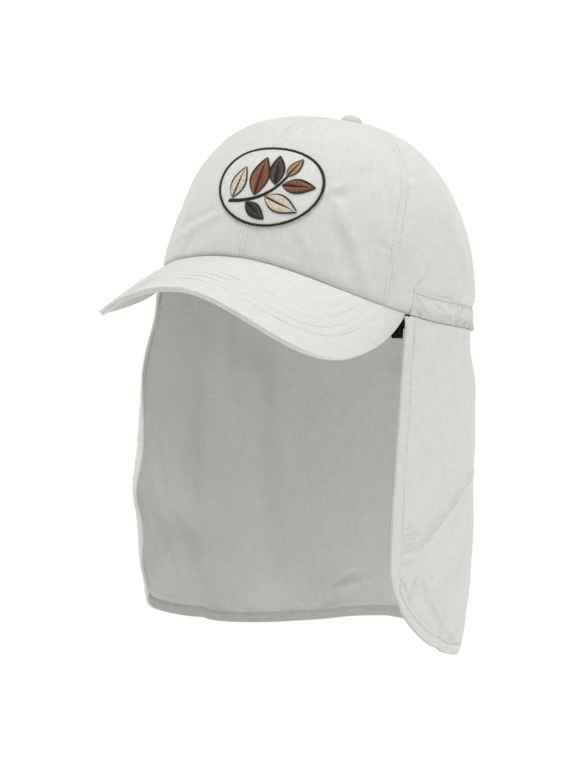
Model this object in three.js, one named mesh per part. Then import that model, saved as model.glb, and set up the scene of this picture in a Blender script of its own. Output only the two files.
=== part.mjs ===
import * as THREE from "three";

// A legionnaire cap: six cloth panels, a covered button, a curved peak, an elastic
// casing round the back and a flap that hangs from the rim to cover the neck.
// Millimetres and degrees. +X is the wearer's left, -Y the front, +Z up, and the
// origin is the middle of the head opening. A turn of 0 is the front of the cap,
// 90 the wearer's left, 180 the back.

// Cloth
const CLOTH = 1.2;
const SEAM_GAP = 0.3;

// Crown
const CROWN_LENGTH = 200;
const CROWN_WIDTH = 174.2;
const CROWN_HEIGHT = 107.8;
const CROWN_LEAN = 18.9;
const CROWN_PLAN_POWER = 2.29;
const CROWN_SIDE_POWER = 2.33;
const CROWN_FRONT_POWER = 0.67;
const APEX_BACKSET = 7.4;
const PANEL_SWELL = 0.8;
// The higher this is, the nearer to the rim the panels' swell begins
const SWELL_POWER = 8;
const APEX_CLEARANCE = 3;
// How the rim waves up and down round the head: lift is a share of the crown's height
const RIM_WAVES = [
  { waves: 0, lift: -0.002 },
  { waves: 1, lift: 0.107 },
  { waves: 2, lift: 0.02 },
  { waves: 3, lift: 0.029 },
];
const PANELS = [
  { name: "front_left", from: 0, to: 58 },
  { name: "side_left", from: 58, to: 120 },
  { name: "back_left", from: 120, to: 180 },
  { name: "back_right", from: 180, to: 240 },
  { name: "side_right", from: 240, to: 302 },
  { name: "front_right", from: 302, to: 360 },
];

// Button
const BUTTON_DIAMETER = 13;
const BUTTON_HEIGHT = 4;

// Peak
const PEAK_TURN = 65;
const PEAK_REACH = 112.8;
const PEAK_SIDE_SWELL = 3.3;
const PEAK_CORNER_POWER = 3.4;
const PEAK_ARCH = 43.1;
const PEAK_ARCH_POWER = 1.82;
const PEAK_BOW = 2.2;
const PEAK_LAYER = 1.4;
// Share of the half width where the peak's pointed ends stop, and how late they turn up
const PEAK_END = 0.998;
const PEAK_END_POWER = 8;

// Elastic casing round the back
const BAND_HEIGHT = 15;
const BAND_EDGE = 1.2;
const BAND_SWELL = 2.2;
const BAND_GATHER_DEPTH = 0.7;
const BAND_GATHERS = 28;
// Share of the casing's length over which each end swells from flat to full
const BAND_END = 0.05;

// Neck flap
const FLAP_TURN = PEAK_TURN + 2;
const FLARE_SIDE = 3.9;
const FLARE_BACK = 3;
const FLAP_FRONT_REACH = 65;
const FLAP_PLAN_POWER = 2.5;
const FLAP_FOOT = 257;
// The flap widens by its flare over this depth below the rim, then tucks back in
const FLARE_DEPTH = 125;
const FLARE_POWER = 2.2;
const FORWARD_POWER = 1.5;
const TUCK = 9;
const TUCK_START = 120;
const TUCK_DEPTH = 110;
// The foot of the flap: left and right are shares of FLAP_FOOT below the origin
const FOOT = [
  { turn: 65, left: 0.52, right: 0.73 },
  { turn: 68, left: 0.59, right: 0.753 },
  { turn: 71, left: 0.645, right: 0.773 },
  { turn: 76, left: 0.7, right: 0.802 },
  { turn: 81, left: 0.75, right: 0.828 },
  { turn: 87, left: 0.8, right: 0.856 },
  { turn: 93, left: 0.836, right: 0.883 },
  { turn: 101, left: 0.866, right: 0.912 },
  { turn: 113, left: 0.903, right: 0.946 },
  { turn: 130, left: 0.94, right: 0.975 },
  { turn: 150, left: 0.96, right: 0.983 },
  { turn: 165, left: 0.957, right: 0.97 },
  { turn: 180, left: 0.957, right: 0.957 },
];
// Soft folds in the flap: each runs from one place to another, given as a turn and a
// share of FLAP_FOOT, and stands out by height, a share of FOLD_DEPTH
const FOLD_DEPTH = 3;
const FOLD_FADE = 22;
const FOLDS = [
  { fromTurn: 114, fromDrop: 0.42, toTurn: 78, toDrop: 0.52, width: 12, height: 1 },
  { fromTurn: 112, fromDrop: 0.57, toTurn: 88, toDrop: 0.64, width: 13, height: -0.8 },
  { fromTurn: 84, fromDrop: 0.62, toTurn: 96, toDrop: 0.8, width: 10, height: 0.6 },
  { fromTurn: 150, fromDrop: 0.25, toTurn: 146, toDrop: 0.95, width: 16, height: 1.1 },
  { fromTurn: 172, fromDrop: 0.3, toTurn: 174, toDrop: 0.95, width: 14, height: -0.9 },
  { fromTurn: 205, fromDrop: 0.25, toTurn: 208, toDrop: 0.9, width: 16, height: 1 },
  { fromTurn: 236, fromDrop: 0.3, toTurn: 232, toDrop: 0.95, width: 15, height: -0.9 },
  { fromTurn: 258, fromDrop: 0.3, toTurn: 262, toDrop: 0.85, width: 14, height: 0.8 },
  { fromTurn: 288, fromDrop: 0.5, toTurn: 268, toDrop: 0.66, width: 12, height: 0.8 },
];
const HEM_WIDTH = 7;
const HEM_CLOTH = 1;
const HEM_SEAT = 0.6;

// Black tab inside the back of the rim
const ADJUSTER_START = 4;
const ADJUSTER_WIDTH = 26;
const ADJUSTER_HEIGHT = 16;
const ADJUSTER_THICKNESS = 2;
const ADJUSTER_CORNER = 5;
const ADJUSTER_BELOW_RIM = 6;
const ADJUSTER_SEAT = 0.8;

// Emblem on the front: a leaf spray inside a rounded oval
const EMBLEM_WIDTH = 66;
const EMBLEM_HEIGHT = 52;
const EMBLEM_ABOVE_RIM = 45;
const EMBLEM_ASIDE = 4;
const EMBLEM_THICKNESS = 0.8;
const OUTLINE_WIDTH = 2.2;
const STEM_WIDTH = 2.4;
const LEAF_THICKNESS = 0.7;
const LEAF_CLEAR = 0.9;
const LEAF_SLENDERNESS = 0.46;
// Where a leaf's blunt ends stop, how low its widest place sits, how thin its edges are
const LEAF_TIP = 0.03;
const LEAF_BELLY = 0.85;
const LEAF_EDGE = 0.6;
// The stem's bend: across and up are shares of half the emblem's width and height
const STEM = [
  { across: -0.64, up: -0.5 },
  { across: 0.1, up: -0.42 },
  { across: 0.3, up: 0.23 },
];
// Leaves: along is a share of the stem, long a share of the emblem's height
const LEAVES = [
  { along: 0.03, side: 1, lean: 78, long: 0.38, thread: "cream" },
  { along: 0.2, side: -1, lean: 44, long: 0.31, thread: "dark_brown" },
  { along: 0.36, side: 1, lean: 70, long: 0.47, thread: "chestnut" },
  { along: 0.5, side: -1, lean: 48, long: 0.42, thread: "cream" },
  { along: 0.74, side: 1, lean: 54, long: 0.37, thread: "dark_brown" },
  { along: 0.82, side: -1, lean: 52, long: 0.36, thread: "chestnut" },
  { along: 1, side: 0, lean: 0, long: 0.26, thread: "tan" },
];

const FINISHES = {
  cloth: { color: 0xdcddd8, roughness: 0.9, metalness: 0 },
  peak_cloth: { color: 0xe2e3de, roughness: 0.85, metalness: 0 },
  black_webbing: { color: 0x17130f, roughness: 0.8, metalness: 0 },
  ground_thread: { color: 0xe9ecec, roughness: 0.8, metalness: 0 },
  black_thread: { color: 0x15120f, roughness: 0.6, metalness: 0 },
  cream_thread: { color: 0xd9cdb8, roughness: 0.6, metalness: 0 },
  tan_thread: { color: 0xb98d63, roughness: 0.6, metalness: 0 },
  chestnut_thread: { color: 0x8a4f2c, roughness: 0.6, metalness: 0 },
  dark_brown_thread: { color: 0x38231d, roughness: 0.6, metalness: 0 },
};

// Columns and rows of facets in each piece
const GRIDS = {
  panel: [8, 8],
  peak: [26, 5],
  gather: [4, 3],
  flap: [60, 15],
  tab: [6, 6],
  ground: [10, 8],
  outline: [40, 1],
  stem: [10, 1],
  leaf: [6, 2],
  button: [18, 6],
};
// How much closer the flap's columns stand at its front edges, from 0 to 1
const EDGE_CROWDING = 0.6;
const CLIMB_STEP = 1 / 120;

const radians = THREE.MathUtils.degToRad;
const degrees = THREE.MathUtils.radToDeg;
const { lerp, clamp } = THREE.MathUtils;

function powered(value, power) {
  return Math.sign(value) * Math.abs(value) ** power;
}

// A smooth curve through one column of a table, read at a turn
function column(rows, name) {
  const turns = rows.map((row) => row.turn);
  const values = rows.map((row) => row[name]);
  const curve = new THREE.CubicInterpolant(turns, values, 1, new Float64Array(1));
  return (turn) => curve.evaluate(turn)[0];
}

// A closed wall between two faces. place(u, v, depth) gives a point, with u and v from
// 0 to 1 over the sheet and a depth of 0 on its outer face and 1 on its inner face.
// A ring joins its last column to its first.
function sheet(columns, rows, place, ring = false) {
  const across = ring ? columns : columns + 1;
  const points = [];
  for (const depth of [0, 1]) {
    for (let i = 0; i < across; i += 1) {
      for (let j = 0; j <= rows; j += 1) {
        points.push(...place(i / columns, j / rows, depth).toArray());
      }
    }
  }
  const at = (i, j, depth) => (depth * across + (i % across)) * (rows + 1) + j;
  const faces = [];
  const quad = (a, b, c, d) => faces.push(a, b, c, a, c, d);
  for (let i = 0; i < columns; i += 1) {
    for (let j = 0; j < rows; j += 1) {
      quad(at(i, j, 0), at(i + 1, j, 0), at(i + 1, j + 1, 0), at(i, j + 1, 0));
      quad(at(i, j, 1), at(i, j + 1, 1), at(i + 1, j + 1, 1), at(i + 1, j, 1));
    }
    quad(at(i, 0, 0), at(i, 0, 1), at(i + 1, 0, 1), at(i + 1, 0, 0));
    quad(at(i, rows, 0), at(i + 1, rows, 0), at(i + 1, rows, 1), at(i, rows, 1));
  }
  for (let j = 0; j < rows && !ring; j += 1) {
    quad(at(0, j, 0), at(0, j + 1, 0), at(0, j + 1, 1), at(0, j, 1));
    quad(at(columns, j, 0), at(columns, j, 1), at(columns, j + 1, 1), at(columns, j + 1, 0));
  }
  return facingOut(points, faces);
}

// The same faces, turned if need be so that they point out of the solid
function facingOut(points, faces) {
  const corner = (index) => new THREE.Vector3().fromArray(points, index * 3);
  let volume = 0;
  for (let f = 0; f < faces.length; f += 3) {
    const [a, b, c] = [corner(faces[f]), corner(faces[f + 1]), corner(faces[f + 2])];
    volume += a.dot(b.cross(c)) / 6;
  }
  const geometry = new THREE.BufferGeometry();
  geometry.setAttribute("position", new THREE.Float32BufferAttribute(points, 3));
  geometry.setIndex(volume > 0 ? faces : faces.slice().reverse());
  geometry.computeVertexNormals();
  return geometry;
}

// A unit normal of a surface place(u, v) from two short steps
function normalOf(place, u, v) {
  const step = 1e-3;
  const alongU = place(u + step, v).sub(place(u - step, v));
  const alongV = place(u, v + step).sub(place(u, v - step));
  return alongU.cross(alongV).normalize();
}

// Height of the rim above the head opening's middle, as a share of the crown's height
function rimShare(turn) {
  return RIM_WAVES.reduce((sum, row) => sum + row.lift * Math.cos(radians(row.waves * turn)), 0);
}

// How far a turn is from a seam: 0 on one and 1 midway between two
function betweenSeams(turn) {
  const whole = THREE.MathUtils.euclideanModulo(turn, 360);
  const { from, to } = PANELS.find((one) => whole <= one.to);
  return Math.sin((Math.PI * (whole - from)) / (to - from));
}

// How squarely the crown's profile turns over at a turn: most at the front
function profilePower(turn) {
  return CROWN_SIDE_POWER + CROWN_FRONT_POWER * Math.cos(radians(turn));
}

// A superellipse of unit half axes: its reach at a turn
function superellipse(turn, power) {
  const angle = radians(turn);
  return 1 / (Math.abs(Math.cos(angle)) ** power + Math.abs(Math.sin(angle)) ** power) ** (1 / power);
}

// A point of the crown's outer face at a turn and a share of its height, moved outward
function crown(turn, share, out = 0) {
  const angle = radians(turn);
  const side = Math.sin(angle);
  const front = Math.cos(angle);
  const plan = CROWN_PLAN_POWER;
  const profile = profilePower(turn);
  const reach = superellipse(turn, plan);
  const narrow = Math.max(1 - Math.abs(share) ** profile, 0) ** (1 / profile);
  const halfWidth = CROWN_WIDTH / 2;
  const halfLength = CROWN_LENGTH / 2;
  const steep = narrow ** (profile - 1);
  const normal = new THREE.Vector3(
    (steep * powered(side * reach, plan - 1)) / halfWidth,
    (-steep * powered(front * reach, plan - 1)) / halfLength,
    powered(share, profile - 1) / CROWN_HEIGHT,
  ).normalize();
  const swell = PANEL_SWELL * betweenSeams(turn) * narrow * (1 - narrow ** SWELL_POWER);
  return new THREE.Vector3(
    halfWidth * narrow * side * reach,
    -halfLength * narrow * front * reach + APEX_BACKSET * clamp(share, 0, 1),
    CROWN_HEIGHT * share,
  )
    .addScaledVector(normal, out + swell)
    .applyAxisAngle(new THREE.Vector3(1, 0, 0), -radians(CROWN_LEAN));
}

// A point on the rim, or a height above it up the crown
function aboveRim(turn, height, out = 0) {
  return crown(turn, rimShare(turn) + height / CROWN_HEIGHT, out);
}

// One gore of the crown, from the rim to just short of the top, with half a seam gap
// left along each of its two seams
function panel({ from, to }) {
  const place = (u, v, depth) => {
    const turnAbout = lerp(from, to, u);
    const profile = profilePower(turnAbout);
    const low = Math.asin(powered(rimShare(turnAbout), profile / 2));
    const high = Math.acos((APEX_CLEARANCE / (CROWN_WIDTH / 2)) ** (profile / 2));
    const share = powered(Math.sin(lerp(low, high, v)), 2 / profile);
    const axis = crown(turnAbout, 1);
    const radius = crown(turnAbout, share).distanceTo(axis);
    const inset = degrees(SEAM_GAP / 2 / Math.max(radius, APEX_CLEARANCE));
    return crown(lerp(from + inset, to - inset, u), share, -CLOTH * depth);
  };
  return sheet(...GRIDS.panel, place);
}

// A domed button, cloth over a disc, seated on the top of the crown
function button() {
  const radius = BUTTON_DIAMETER / 2;
  const [sides, steps] = GRIDS.button;
  const profile = [new THREE.Vector2(0, 0), new THREE.Vector2(radius, 0)];
  for (let i = 1; i <= steps; i += 1) {
    const angle = (Math.PI / 2) * (i / steps);
    profile.push(new THREE.Vector2(radius * Math.cos(angle), BUTTON_HEIGHT * Math.sin(angle)));
  }
  profile[profile.length - 1].x = 0;
  const geometry = new THREE.LatheGeometry(profile, sides);
  geometry.rotateX(Math.PI / 2 - radians(CROWN_LEAN));
  const seat = crown(0, 1, SEAM_GAP);
  geometry.translate(seat.x, seat.y, seat.z);
  return geometry;
}

// The peak's front edge: a squared-off oval whose arch drops towards the sides
function peakEdge(u) {
  const angle = u * (Math.PI / 2);
  const end = aboveRim(PEAK_TURN, 0);
  const front = aboveRim(0, 0);
  const across = powered(Math.sin(angle), 2 / PEAK_CORNER_POWER);
  const along = Math.cos(angle) ** (2 / PEAK_CORNER_POWER);
  const corner = Math.abs(Math.sin(2 * angle));
  const x = across * (end.x + PEAK_SIDE_SWELL * corner);
  const arch = front.z - PEAK_ARCH * Math.abs(x / end.x) ** PEAK_ARCH_POWER;
  const blend = (1 - along) ** PEAK_END_POWER;
  return new THREE.Vector3(x, end.y - PEAK_REACH * along, lerp(arch, end.z, blend));
}

// The peak's top face: u from -1 to 1 across it, v from 0 at the rim to 1 at its edge
function peakTop(u, v) {
  const inner = aboveRim(u * PEAK_TURN, 0, SEAM_GAP);
  const point = inner.lerp(peakEdge(u), v);
  point.z += PEAK_BOW * Math.sin(Math.PI * v) * (1 - u * u);
  return point;
}

// One layer of the peak, whose top face lies a depth below the peak's own top face.
// The normal of that face points down, into the peak.
function peakLayer(depthAbove) {
  const place = (u, v, depth) => {
    const across = PEAK_END * Math.sin(Math.PI * (u - 0.5));
    const low = depthAbove + PEAK_LAYER * depth;
    return peakTop(across, v).addScaledVector(normalOf(peakTop, across, v), low);
  };
  return sheet(...GRIDS.peak, place);
}

// The casing round the back of the rim, swollen and gathered by the elastic inside it
function elasticBand() {
  const from = FLAP_TURN;
  const to = 360 - from;
  const place = (u, v, depth) => {
    const turn = lerp(from, to, u);
    const full = Math.sin(Math.PI * v);
    const ends = Math.min(1, u / BAND_END, (1 - u) / BAND_END);
    const gather = BAND_GATHER_DEPTH * Math.cos(2 * Math.PI * BAND_GATHERS * u);
    const out = SEAM_GAP + (1 - depth) * (BAND_EDGE + ends * full * (BAND_SWELL + gather));
    return aboveRim(turn, v * BAND_HEIGHT, out);
  };
  return sheet(BAND_GATHERS * GRIDS.gather[0], GRIDS.gather[1], place);
}

const flapHalfWidth = CROWN_WIDTH / 2 + FLARE_SIDE;
const flapBack = CROWN_LENGTH / 2 + FLARE_BACK;
const footLeft = column(FOOT, "left");
const footRight = column(FOOT, "right");

// Folds a turn past the back onto the left half, and says which half it came from
function mirrored(turn) {
  return turn > 180 ? [360 - turn, -1] : [turn, 1];
}

function flapFoot(turn) {
  const [near, side] = mirrored(turn);
  return -FLAP_FOOT * (side > 0 ? footLeft(near) : footRight(near));
}

// How far the folds push the flap out at a turn and a height
function foldAt(turn, z) {
  const arc = radians(1) * flapBack;
  const here = new THREE.Vector3(turn * arc, z, 0);
  let out = 0;
  for (const fold of FOLDS) {
    const from = new THREE.Vector3(fold.fromTurn * arc, -fold.fromDrop * FLAP_FOOT, 0);
    const to = new THREE.Vector3(fold.toTurn * arc, -fold.toDrop * FLAP_FOOT, 0);
    const nearest = new THREE.Line3(from, to).closestPointToPoint(here, true, new THREE.Vector3());
    out += FOLD_DEPTH * fold.height * Math.exp(-((here.distanceTo(nearest) / fold.width) ** 2));
  }
  return out;
}

// A point of the flap's outer face at a turn and a height, moved outward
function flap(turn, z, out = 0) {
  const [near, side] = mirrored(turn);
  const seat = aboveRim(near, 0, SEAM_GAP + BAND_EDGE);
  const hang = Math.max(seat.z - z, 0);
  const drop = seat.z - flapFoot(turn);
  const plan = FLAP_PLAN_POWER;
  const angle = radians(near);
  const reach = superellipse(near, plan);
  const isFront = near < 90;
  const footX = isFront ? flapHalfWidth : flapHalfWidth * Math.sin(angle) * reach;
  const footY = isFront
    ? (-FLAP_FRONT_REACH * (90 - near)) / (90 - FLAP_TURN)
    : -flapBack * Math.cos(angle) * reach;
  const normal = isFront
    ? new THREE.Vector2(1, 0)
    : new THREE.Vector2(
        (footX / flapHalfWidth) ** (plan - 1) / flapHalfWidth,
        (footY / flapBack) ** (plan - 1) / flapBack,
      ).normalize();
  const unspent = 1 - Math.min(hang / FLARE_DEPTH, 1);
  const flare = 1 - unspent ** FLARE_POWER;
  const forward = 1 - unspent ** (isFront ? FORWARD_POWER : FLARE_POWER);
  const tuck = TUCK * Math.max((hang - TUCK_START) / TUCK_DEPTH, 0) ** 2;
  const fromEdge = (near - FLAP_TURN) * radians(1) * flapBack;
  const fade = clamp((Math.min(hang, drop - hang, fromEdge) - HEM_WIDTH) / FOLD_FADE, 0, 1);
  const move = out - tuck + fade * foldAt(turn, z);
  return new THREE.Vector3(
    side * (lerp(seat.x, footX, flare) + normal.x * move),
    lerp(seat.y, footY, forward) + normal.y * move,
    z,
  );
}

// A turn round the flap, with the columns crowded towards its two front edges
function flapTurn(u, shift = 0) {
  const crowded = u - (EDGE_CROWDING * Math.sin(2 * Math.PI * u)) / (2 * Math.PI);
  return lerp(FLAP_TURN + shift, 360 - FLAP_TURN - shift, crowded);
}

// Height of the flap's top edge, just under the casing
function flapTop(turn) {
  return Math.min(aboveRim(turn, 0).z, aboveRim(turn, 0, SEAM_GAP + BAND_EDGE).z) - SEAM_GAP;
}

// The cloth of the flap, from just under the casing down to its foot
function neckFlap() {
  const place = (u, v, depth) => {
    const turn = flapTurn(u);
    return flap(turn, lerp(flapTop(turn), flapFoot(turn), v), -CLOTH * depth);
  };
  return sheet(...GRIDS.flap, place);
}

// The hem turned in along the flap's front edges and its foot, mitred at the corners.
// It runs down one front edge, along the foot and up the other front edge.
function flapHem() {
  const inset = degrees(HEM_WIDTH / flapBack);
  const [footColumns, sideRows] = GRIDS.flap;
  const columns = footColumns + 2 * sideRows;
  const sideShare = sideRows / columns;
  const outward = -CLOTH - HEM_SEAT;
  const edge = (u, shift, lift) => {
    const start = flapTurn(0, shift);
    const end = flapTurn(1, shift);
    const foot = (turn) => flapFoot(turn) + lift;
    if (u < sideShare) {
      return [start, lerp(flapTop(start) - HEM_WIDTH, foot(start), u / sideShare)];
    }
    if (u > 1 - sideShare) {
      return [end, lerp(foot(end), flapTop(end) - HEM_WIDTH, (u - 1 + sideShare) / sideShare)];
    }
    const turn = flapTurn((u - sideShare) / (1 - 2 * sideShare), shift);
    return [turn, foot(turn)];
  };
  const place = (u, v, depth) => {
    const [turn, z] = edge(u, inset * v, HEM_WIDTH * v);
    return flap(turn, z, outward - HEM_CLOTH * depth);
  };
  return sheet(columns, 1, place);
}

// The black tab inside the back of the rim, with one lower corner cut off
function adjusterTab() {
  const perTurn = radians(1) * (CROWN_LENGTH / 2);
  const place = (u, v, depth) => {
    const cut = Math.max(ADJUSTER_CORNER - v * ADJUSTER_HEIGHT, 0);
    const along = ADJUSTER_START + lerp(cut, ADJUSTER_WIDTH, u);
    const up = v * ADJUSTER_HEIGHT - ADJUSTER_BELOW_RIM;
    const out = -CLOTH - ADJUSTER_SEAT - ADJUSTER_THICKNESS * depth;
    return aboveRim(180 - along / perTurn, up, out);
  };
  return sheet(...GRIDS.tab, place);
}

// A point on the front of the crown, measured in millimetres from the emblem's middle
function onFront(across, up, out) {
  const target = EMBLEM_ABOVE_RIM + up;
  let share = rimShare(0);
  let climbed = 0;
  let here = crown(0, share);
  while (climbed < target) {
    share += CLIMB_STEP;
    const next = crown(0, share);
    climbed += next.distanceTo(here);
    here = next;
  }
  share -= (climbed - target) / CROWN_HEIGHT;
  const radius = Math.abs(crown(1, share).x) / radians(1);
  return crown(degrees((EMBLEM_ASIDE + across) / radius), share, out);
}

// A point at a turn round the emblem's oval, shrunk by an inset
function oval(turn, shrink) {
  const angle = radians(turn);
  return [
    (EMBLEM_WIDTH / 2 - shrink) * Math.cos(angle),
    (EMBLEM_HEIGHT / 2 - shrink) * Math.sin(angle),
  ];
}

function emblemGround() {
  const inset = OUTLINE_WIDTH + SEAM_GAP;
  const place = (u, v, depth) => {
    const a = 2 * u - 1;
    const b = 2 * v - 1;
    const across = (EMBLEM_WIDTH / 2 - inset) * a * Math.sqrt(1 - (b * b) / 2);
    const up = (EMBLEM_HEIGHT / 2 - inset) * b * Math.sqrt(1 - (a * a) / 2);
    return onFront(across, up, SEAM_GAP + EMBLEM_THICKNESS * (1 - depth));
  };
  return sheet(...GRIDS.ground, place);
}

function emblemOutline() {
  const place = (u, v, depth) => {
    const [across, up] = oval(360 * u, OUTLINE_WIDTH * v);
    return onFront(across, up, SEAM_GAP + EMBLEM_THICKNESS * (1 - depth));
  };
  return sheet(...GRIDS.outline, place, true);
}

const stemCurve = new THREE.QuadraticBezierCurve(
  ...STEM.map((row) => new THREE.Vector2((row.across * EMBLEM_WIDTH) / 2, (row.up * EMBLEM_HEIGHT) / 2)),
);

// How far the raised threads stand above the crown: on the ground's face
const THREAD_SEAT = SEAM_GAP + EMBLEM_THICKNESS + SEAM_GAP;

function emblemStem() {
  const place = (u, v, depth) => {
    const point = stemCurve.getPoint(u);
    const tangent = stemCurve.getTangent(u);
    const side = (v - 0.5) * STEM_WIDTH;
    const out = THREAD_SEAT + LEAF_THICKNESS * (1 - depth);
    return onFront(point.x - tangent.y * side, point.y + tangent.x * side, out);
  };
  return sheet(...GRIDS.stem, place);
}

// A pointed leaf that grows from the stem, thickest along its middle
function leaf({ along, side, lean, long }) {
  const root = stemCurve.getPoint(along);
  const direction = stemCurve.getTangent(along).rotateAround(new THREE.Vector2(), radians(side * lean));
  const clear = side === 0 ? SEAM_GAP : STEM_WIDTH / 2 / Math.sin(radians(lean)) + LEAF_CLEAR;
  const length = long * EMBLEM_HEIGHT;
  const halfWidth = (length * LEAF_SLENDERNESS) / 2;
  const place = (u, v, depth) => {
    const share = lerp(LEAF_TIP, 1 - LEAF_TIP, u);
    const wide = halfWidth * Math.sin(Math.PI * share ** LEAF_BELLY) * (2 * v - 1);
    const forward = clear + length * u;
    const x = root.x + direction.x * forward - direction.y * wide;
    const y = root.y + direction.y * forward + direction.x * wide;
    const crest = lerp(1, LEAF_EDGE, (2 * v - 1) ** 2);
    return onFront(x, y, THREAD_SEAT + LEAF_THICKNESS * crest * (1 - depth));
  };
  return sheet(...GRIDS.leaf, place);
}

function named(name, geometry, finish) {
  const mesh = new THREE.Mesh(geometry, new THREE.MeshStandardMaterial(FINISHES[finish]));
  mesh.name = name;
  return mesh;
}

const cap = new THREE.Group();
cap.name = "legionnaire_cap";
for (const one of PANELS) {
  cap.add(named(`panel_${one.name}`, panel(one), "cloth"));
}
cap.add(named("button", button(), "cloth"));
cap.add(named("peak_top", peakLayer(0), "peak_cloth"));
cap.add(named("peak_underside", peakLayer(PEAK_LAYER + SEAM_GAP), "cloth"));
cap.add(named("elastic_band", elasticBand(), "cloth"));
cap.add(named("neck_flap", neckFlap(), "cloth"));
cap.add(named("flap_hem", flapHem(), "cloth"));
cap.add(named("adjuster_tab", adjusterTab(), "black_webbing"));
cap.add(named("emblem_ground", emblemGround(), "ground_thread"));
cap.add(named("emblem_outline", emblemOutline(), "black_thread"));
cap.add(named("emblem_stem", emblemStem(), "black_thread"));
LEAVES.forEach((row, i) => {
  cap.add(named(`emblem_leaf_${i + 1}`, leaf(row), `${row.thread}_thread`));
});

export default cap;
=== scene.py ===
import math

import bpy
import numpy as np
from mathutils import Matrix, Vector


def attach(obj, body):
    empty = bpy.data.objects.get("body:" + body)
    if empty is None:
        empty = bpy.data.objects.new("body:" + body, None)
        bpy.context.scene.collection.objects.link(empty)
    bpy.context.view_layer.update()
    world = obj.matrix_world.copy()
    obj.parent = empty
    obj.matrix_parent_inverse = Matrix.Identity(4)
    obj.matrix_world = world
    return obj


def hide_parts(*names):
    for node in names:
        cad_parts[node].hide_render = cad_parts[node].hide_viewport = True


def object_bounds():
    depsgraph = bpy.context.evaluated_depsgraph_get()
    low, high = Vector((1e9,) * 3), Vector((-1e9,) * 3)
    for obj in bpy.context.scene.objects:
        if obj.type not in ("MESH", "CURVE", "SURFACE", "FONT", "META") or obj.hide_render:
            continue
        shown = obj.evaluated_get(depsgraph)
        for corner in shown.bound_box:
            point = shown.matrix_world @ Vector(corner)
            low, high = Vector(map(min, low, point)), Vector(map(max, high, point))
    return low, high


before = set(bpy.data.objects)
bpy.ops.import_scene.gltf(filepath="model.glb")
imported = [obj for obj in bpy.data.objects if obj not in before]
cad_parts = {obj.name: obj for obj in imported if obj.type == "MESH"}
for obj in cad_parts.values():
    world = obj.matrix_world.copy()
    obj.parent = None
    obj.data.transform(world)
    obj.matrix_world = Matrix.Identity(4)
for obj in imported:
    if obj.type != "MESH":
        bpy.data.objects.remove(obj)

# A legionnaire cap in off-white brushed microfibre: six gores, a covered button, a stitched
# peak, a gathered elastic casing, a neck flap with a turned hem and an embroidered badge.
# Sizes are in millimetres and degrees; points are turned to metres as their meshes are made.
# +X is the wearer's left, -Y the front, +Z up. A turn of 0 is the front, 90 the wearer's left.

cad_low, cad_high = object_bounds()
METRE = 0.001

# Crown
CLOTH = 1.2
SEAM_GAP = 0.3
CROWN_LENGTH = 200
CROWN_WIDTH = 174.2
CROWN_HEIGHT = 107.8
CROWN_LEAN = 18.9
CROWN_PLAN_POWER = 2.29
CROWN_SIDE_POWER = 2.33
CROWN_FRONT_POWER = 0.67
APEX_BACKSET = 7.4
APEX_CLEARANCE = 3
PANEL_SWELL = 0.8
SWELL_POWER = 8
# Heights of the rim's waves round the head, as shares of the crown's height
RIM_WAVES = (-0.002, 0.107, 0.02, 0.029)
SEAM_TURNS = np.array([0, 58, 120, 180, 240, 302, 360.0])
PANEL_NAMES = ("front_left", "side_left", "back_left", "back_right", "side_right", "front_right")

# Seams: half the felled strip, and how far its stitch lines lie from the seam
SEAM_STRIP = 3.2
SEAM_STITCH = 2.5
SEAM_RISE = 0.35
SEAM_GROOVE = 0.4
STITCH_DIP = 0.35
STITCH_DIP_WIDTH = 0.7
# The cloth's length from rim to apex, near enough to tell how high up a seam a point lies
CLIMB_GUESS = 150
# How much the crown fills out over the casing
SIDE_FULLNESS = 1.0

# Peak
PEAK_TURN = 65
PEAK_REACH = 112.8
PEAK_SIDE_SWELL = 3.3
PEAK_CORNER_POWER = 3.4
PEAK_ARCH = 43.1
PEAK_ARCH_POWER = 1.82
PEAK_BOW = 2.2
PEAK_LAYER = 1.4
PEAK_LAYER_GAP = 0.12
PEAK_END = 0.998
PEAK_END_POWER = 8
# The wearer's right side of the peak is bent up as in the photo: how far, and from which share
# of the way across
PEAK_FAR_LIFT = 4.5
PEAK_FAR_START = 0.42
# Stitch rows: their distances from the peak's edge, and the groove that each pulls in
PEAK_ROWS = (14.3, 20.1, 25.9, 31.5)
PEAK_GROOVE = 0.17
PEAK_GROOVE_WIDTH = 1.1

# Elastic casing
BAND_TURN = PEAK_TURN + 2
BAND_HEIGHT = 15
BAND_EDGE = 1.2
BAND_PUFF = 1.1
BAND_CLOTH = 0.45
BAND_SEAT = 0.2
# The casing's upper and lower stitch lines, as shares of its height
BAND_STITCHES = (0.87, 0.04)

# Neck flap
FLAP_TURN = PEAK_TURN + 2
FLAP_START = 64.2
FLAP_END = 297.5
# How the front edges curl inwards: over how many millimetres, and by how many degrees
CURL_START = (9, 10)
CURL_END = (16, 86)
FLARE_SIDE = 3.9
FLARE_BACK = 3
FLAP_FRONT_REACH = 65
FLAP_PLAN_POWER = 2.5
FLAP_FOOT = 257
FLARE_DEPTH = 125
FLARE_POWER = 2.2
FORWARD_POWER = 1.5
TUCK = 9
TUCK_START = 120
TUCK_DEPTH = 110
UNDER_PEAK = 0.8
WAIST = 1.4
HEM_WIDTH = 7
HEM_CLOTH = 0.6
HEM_CLEAR = 0.12
FOLD_FADE = 22
EDGE_CROWDING = 0.6
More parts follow.
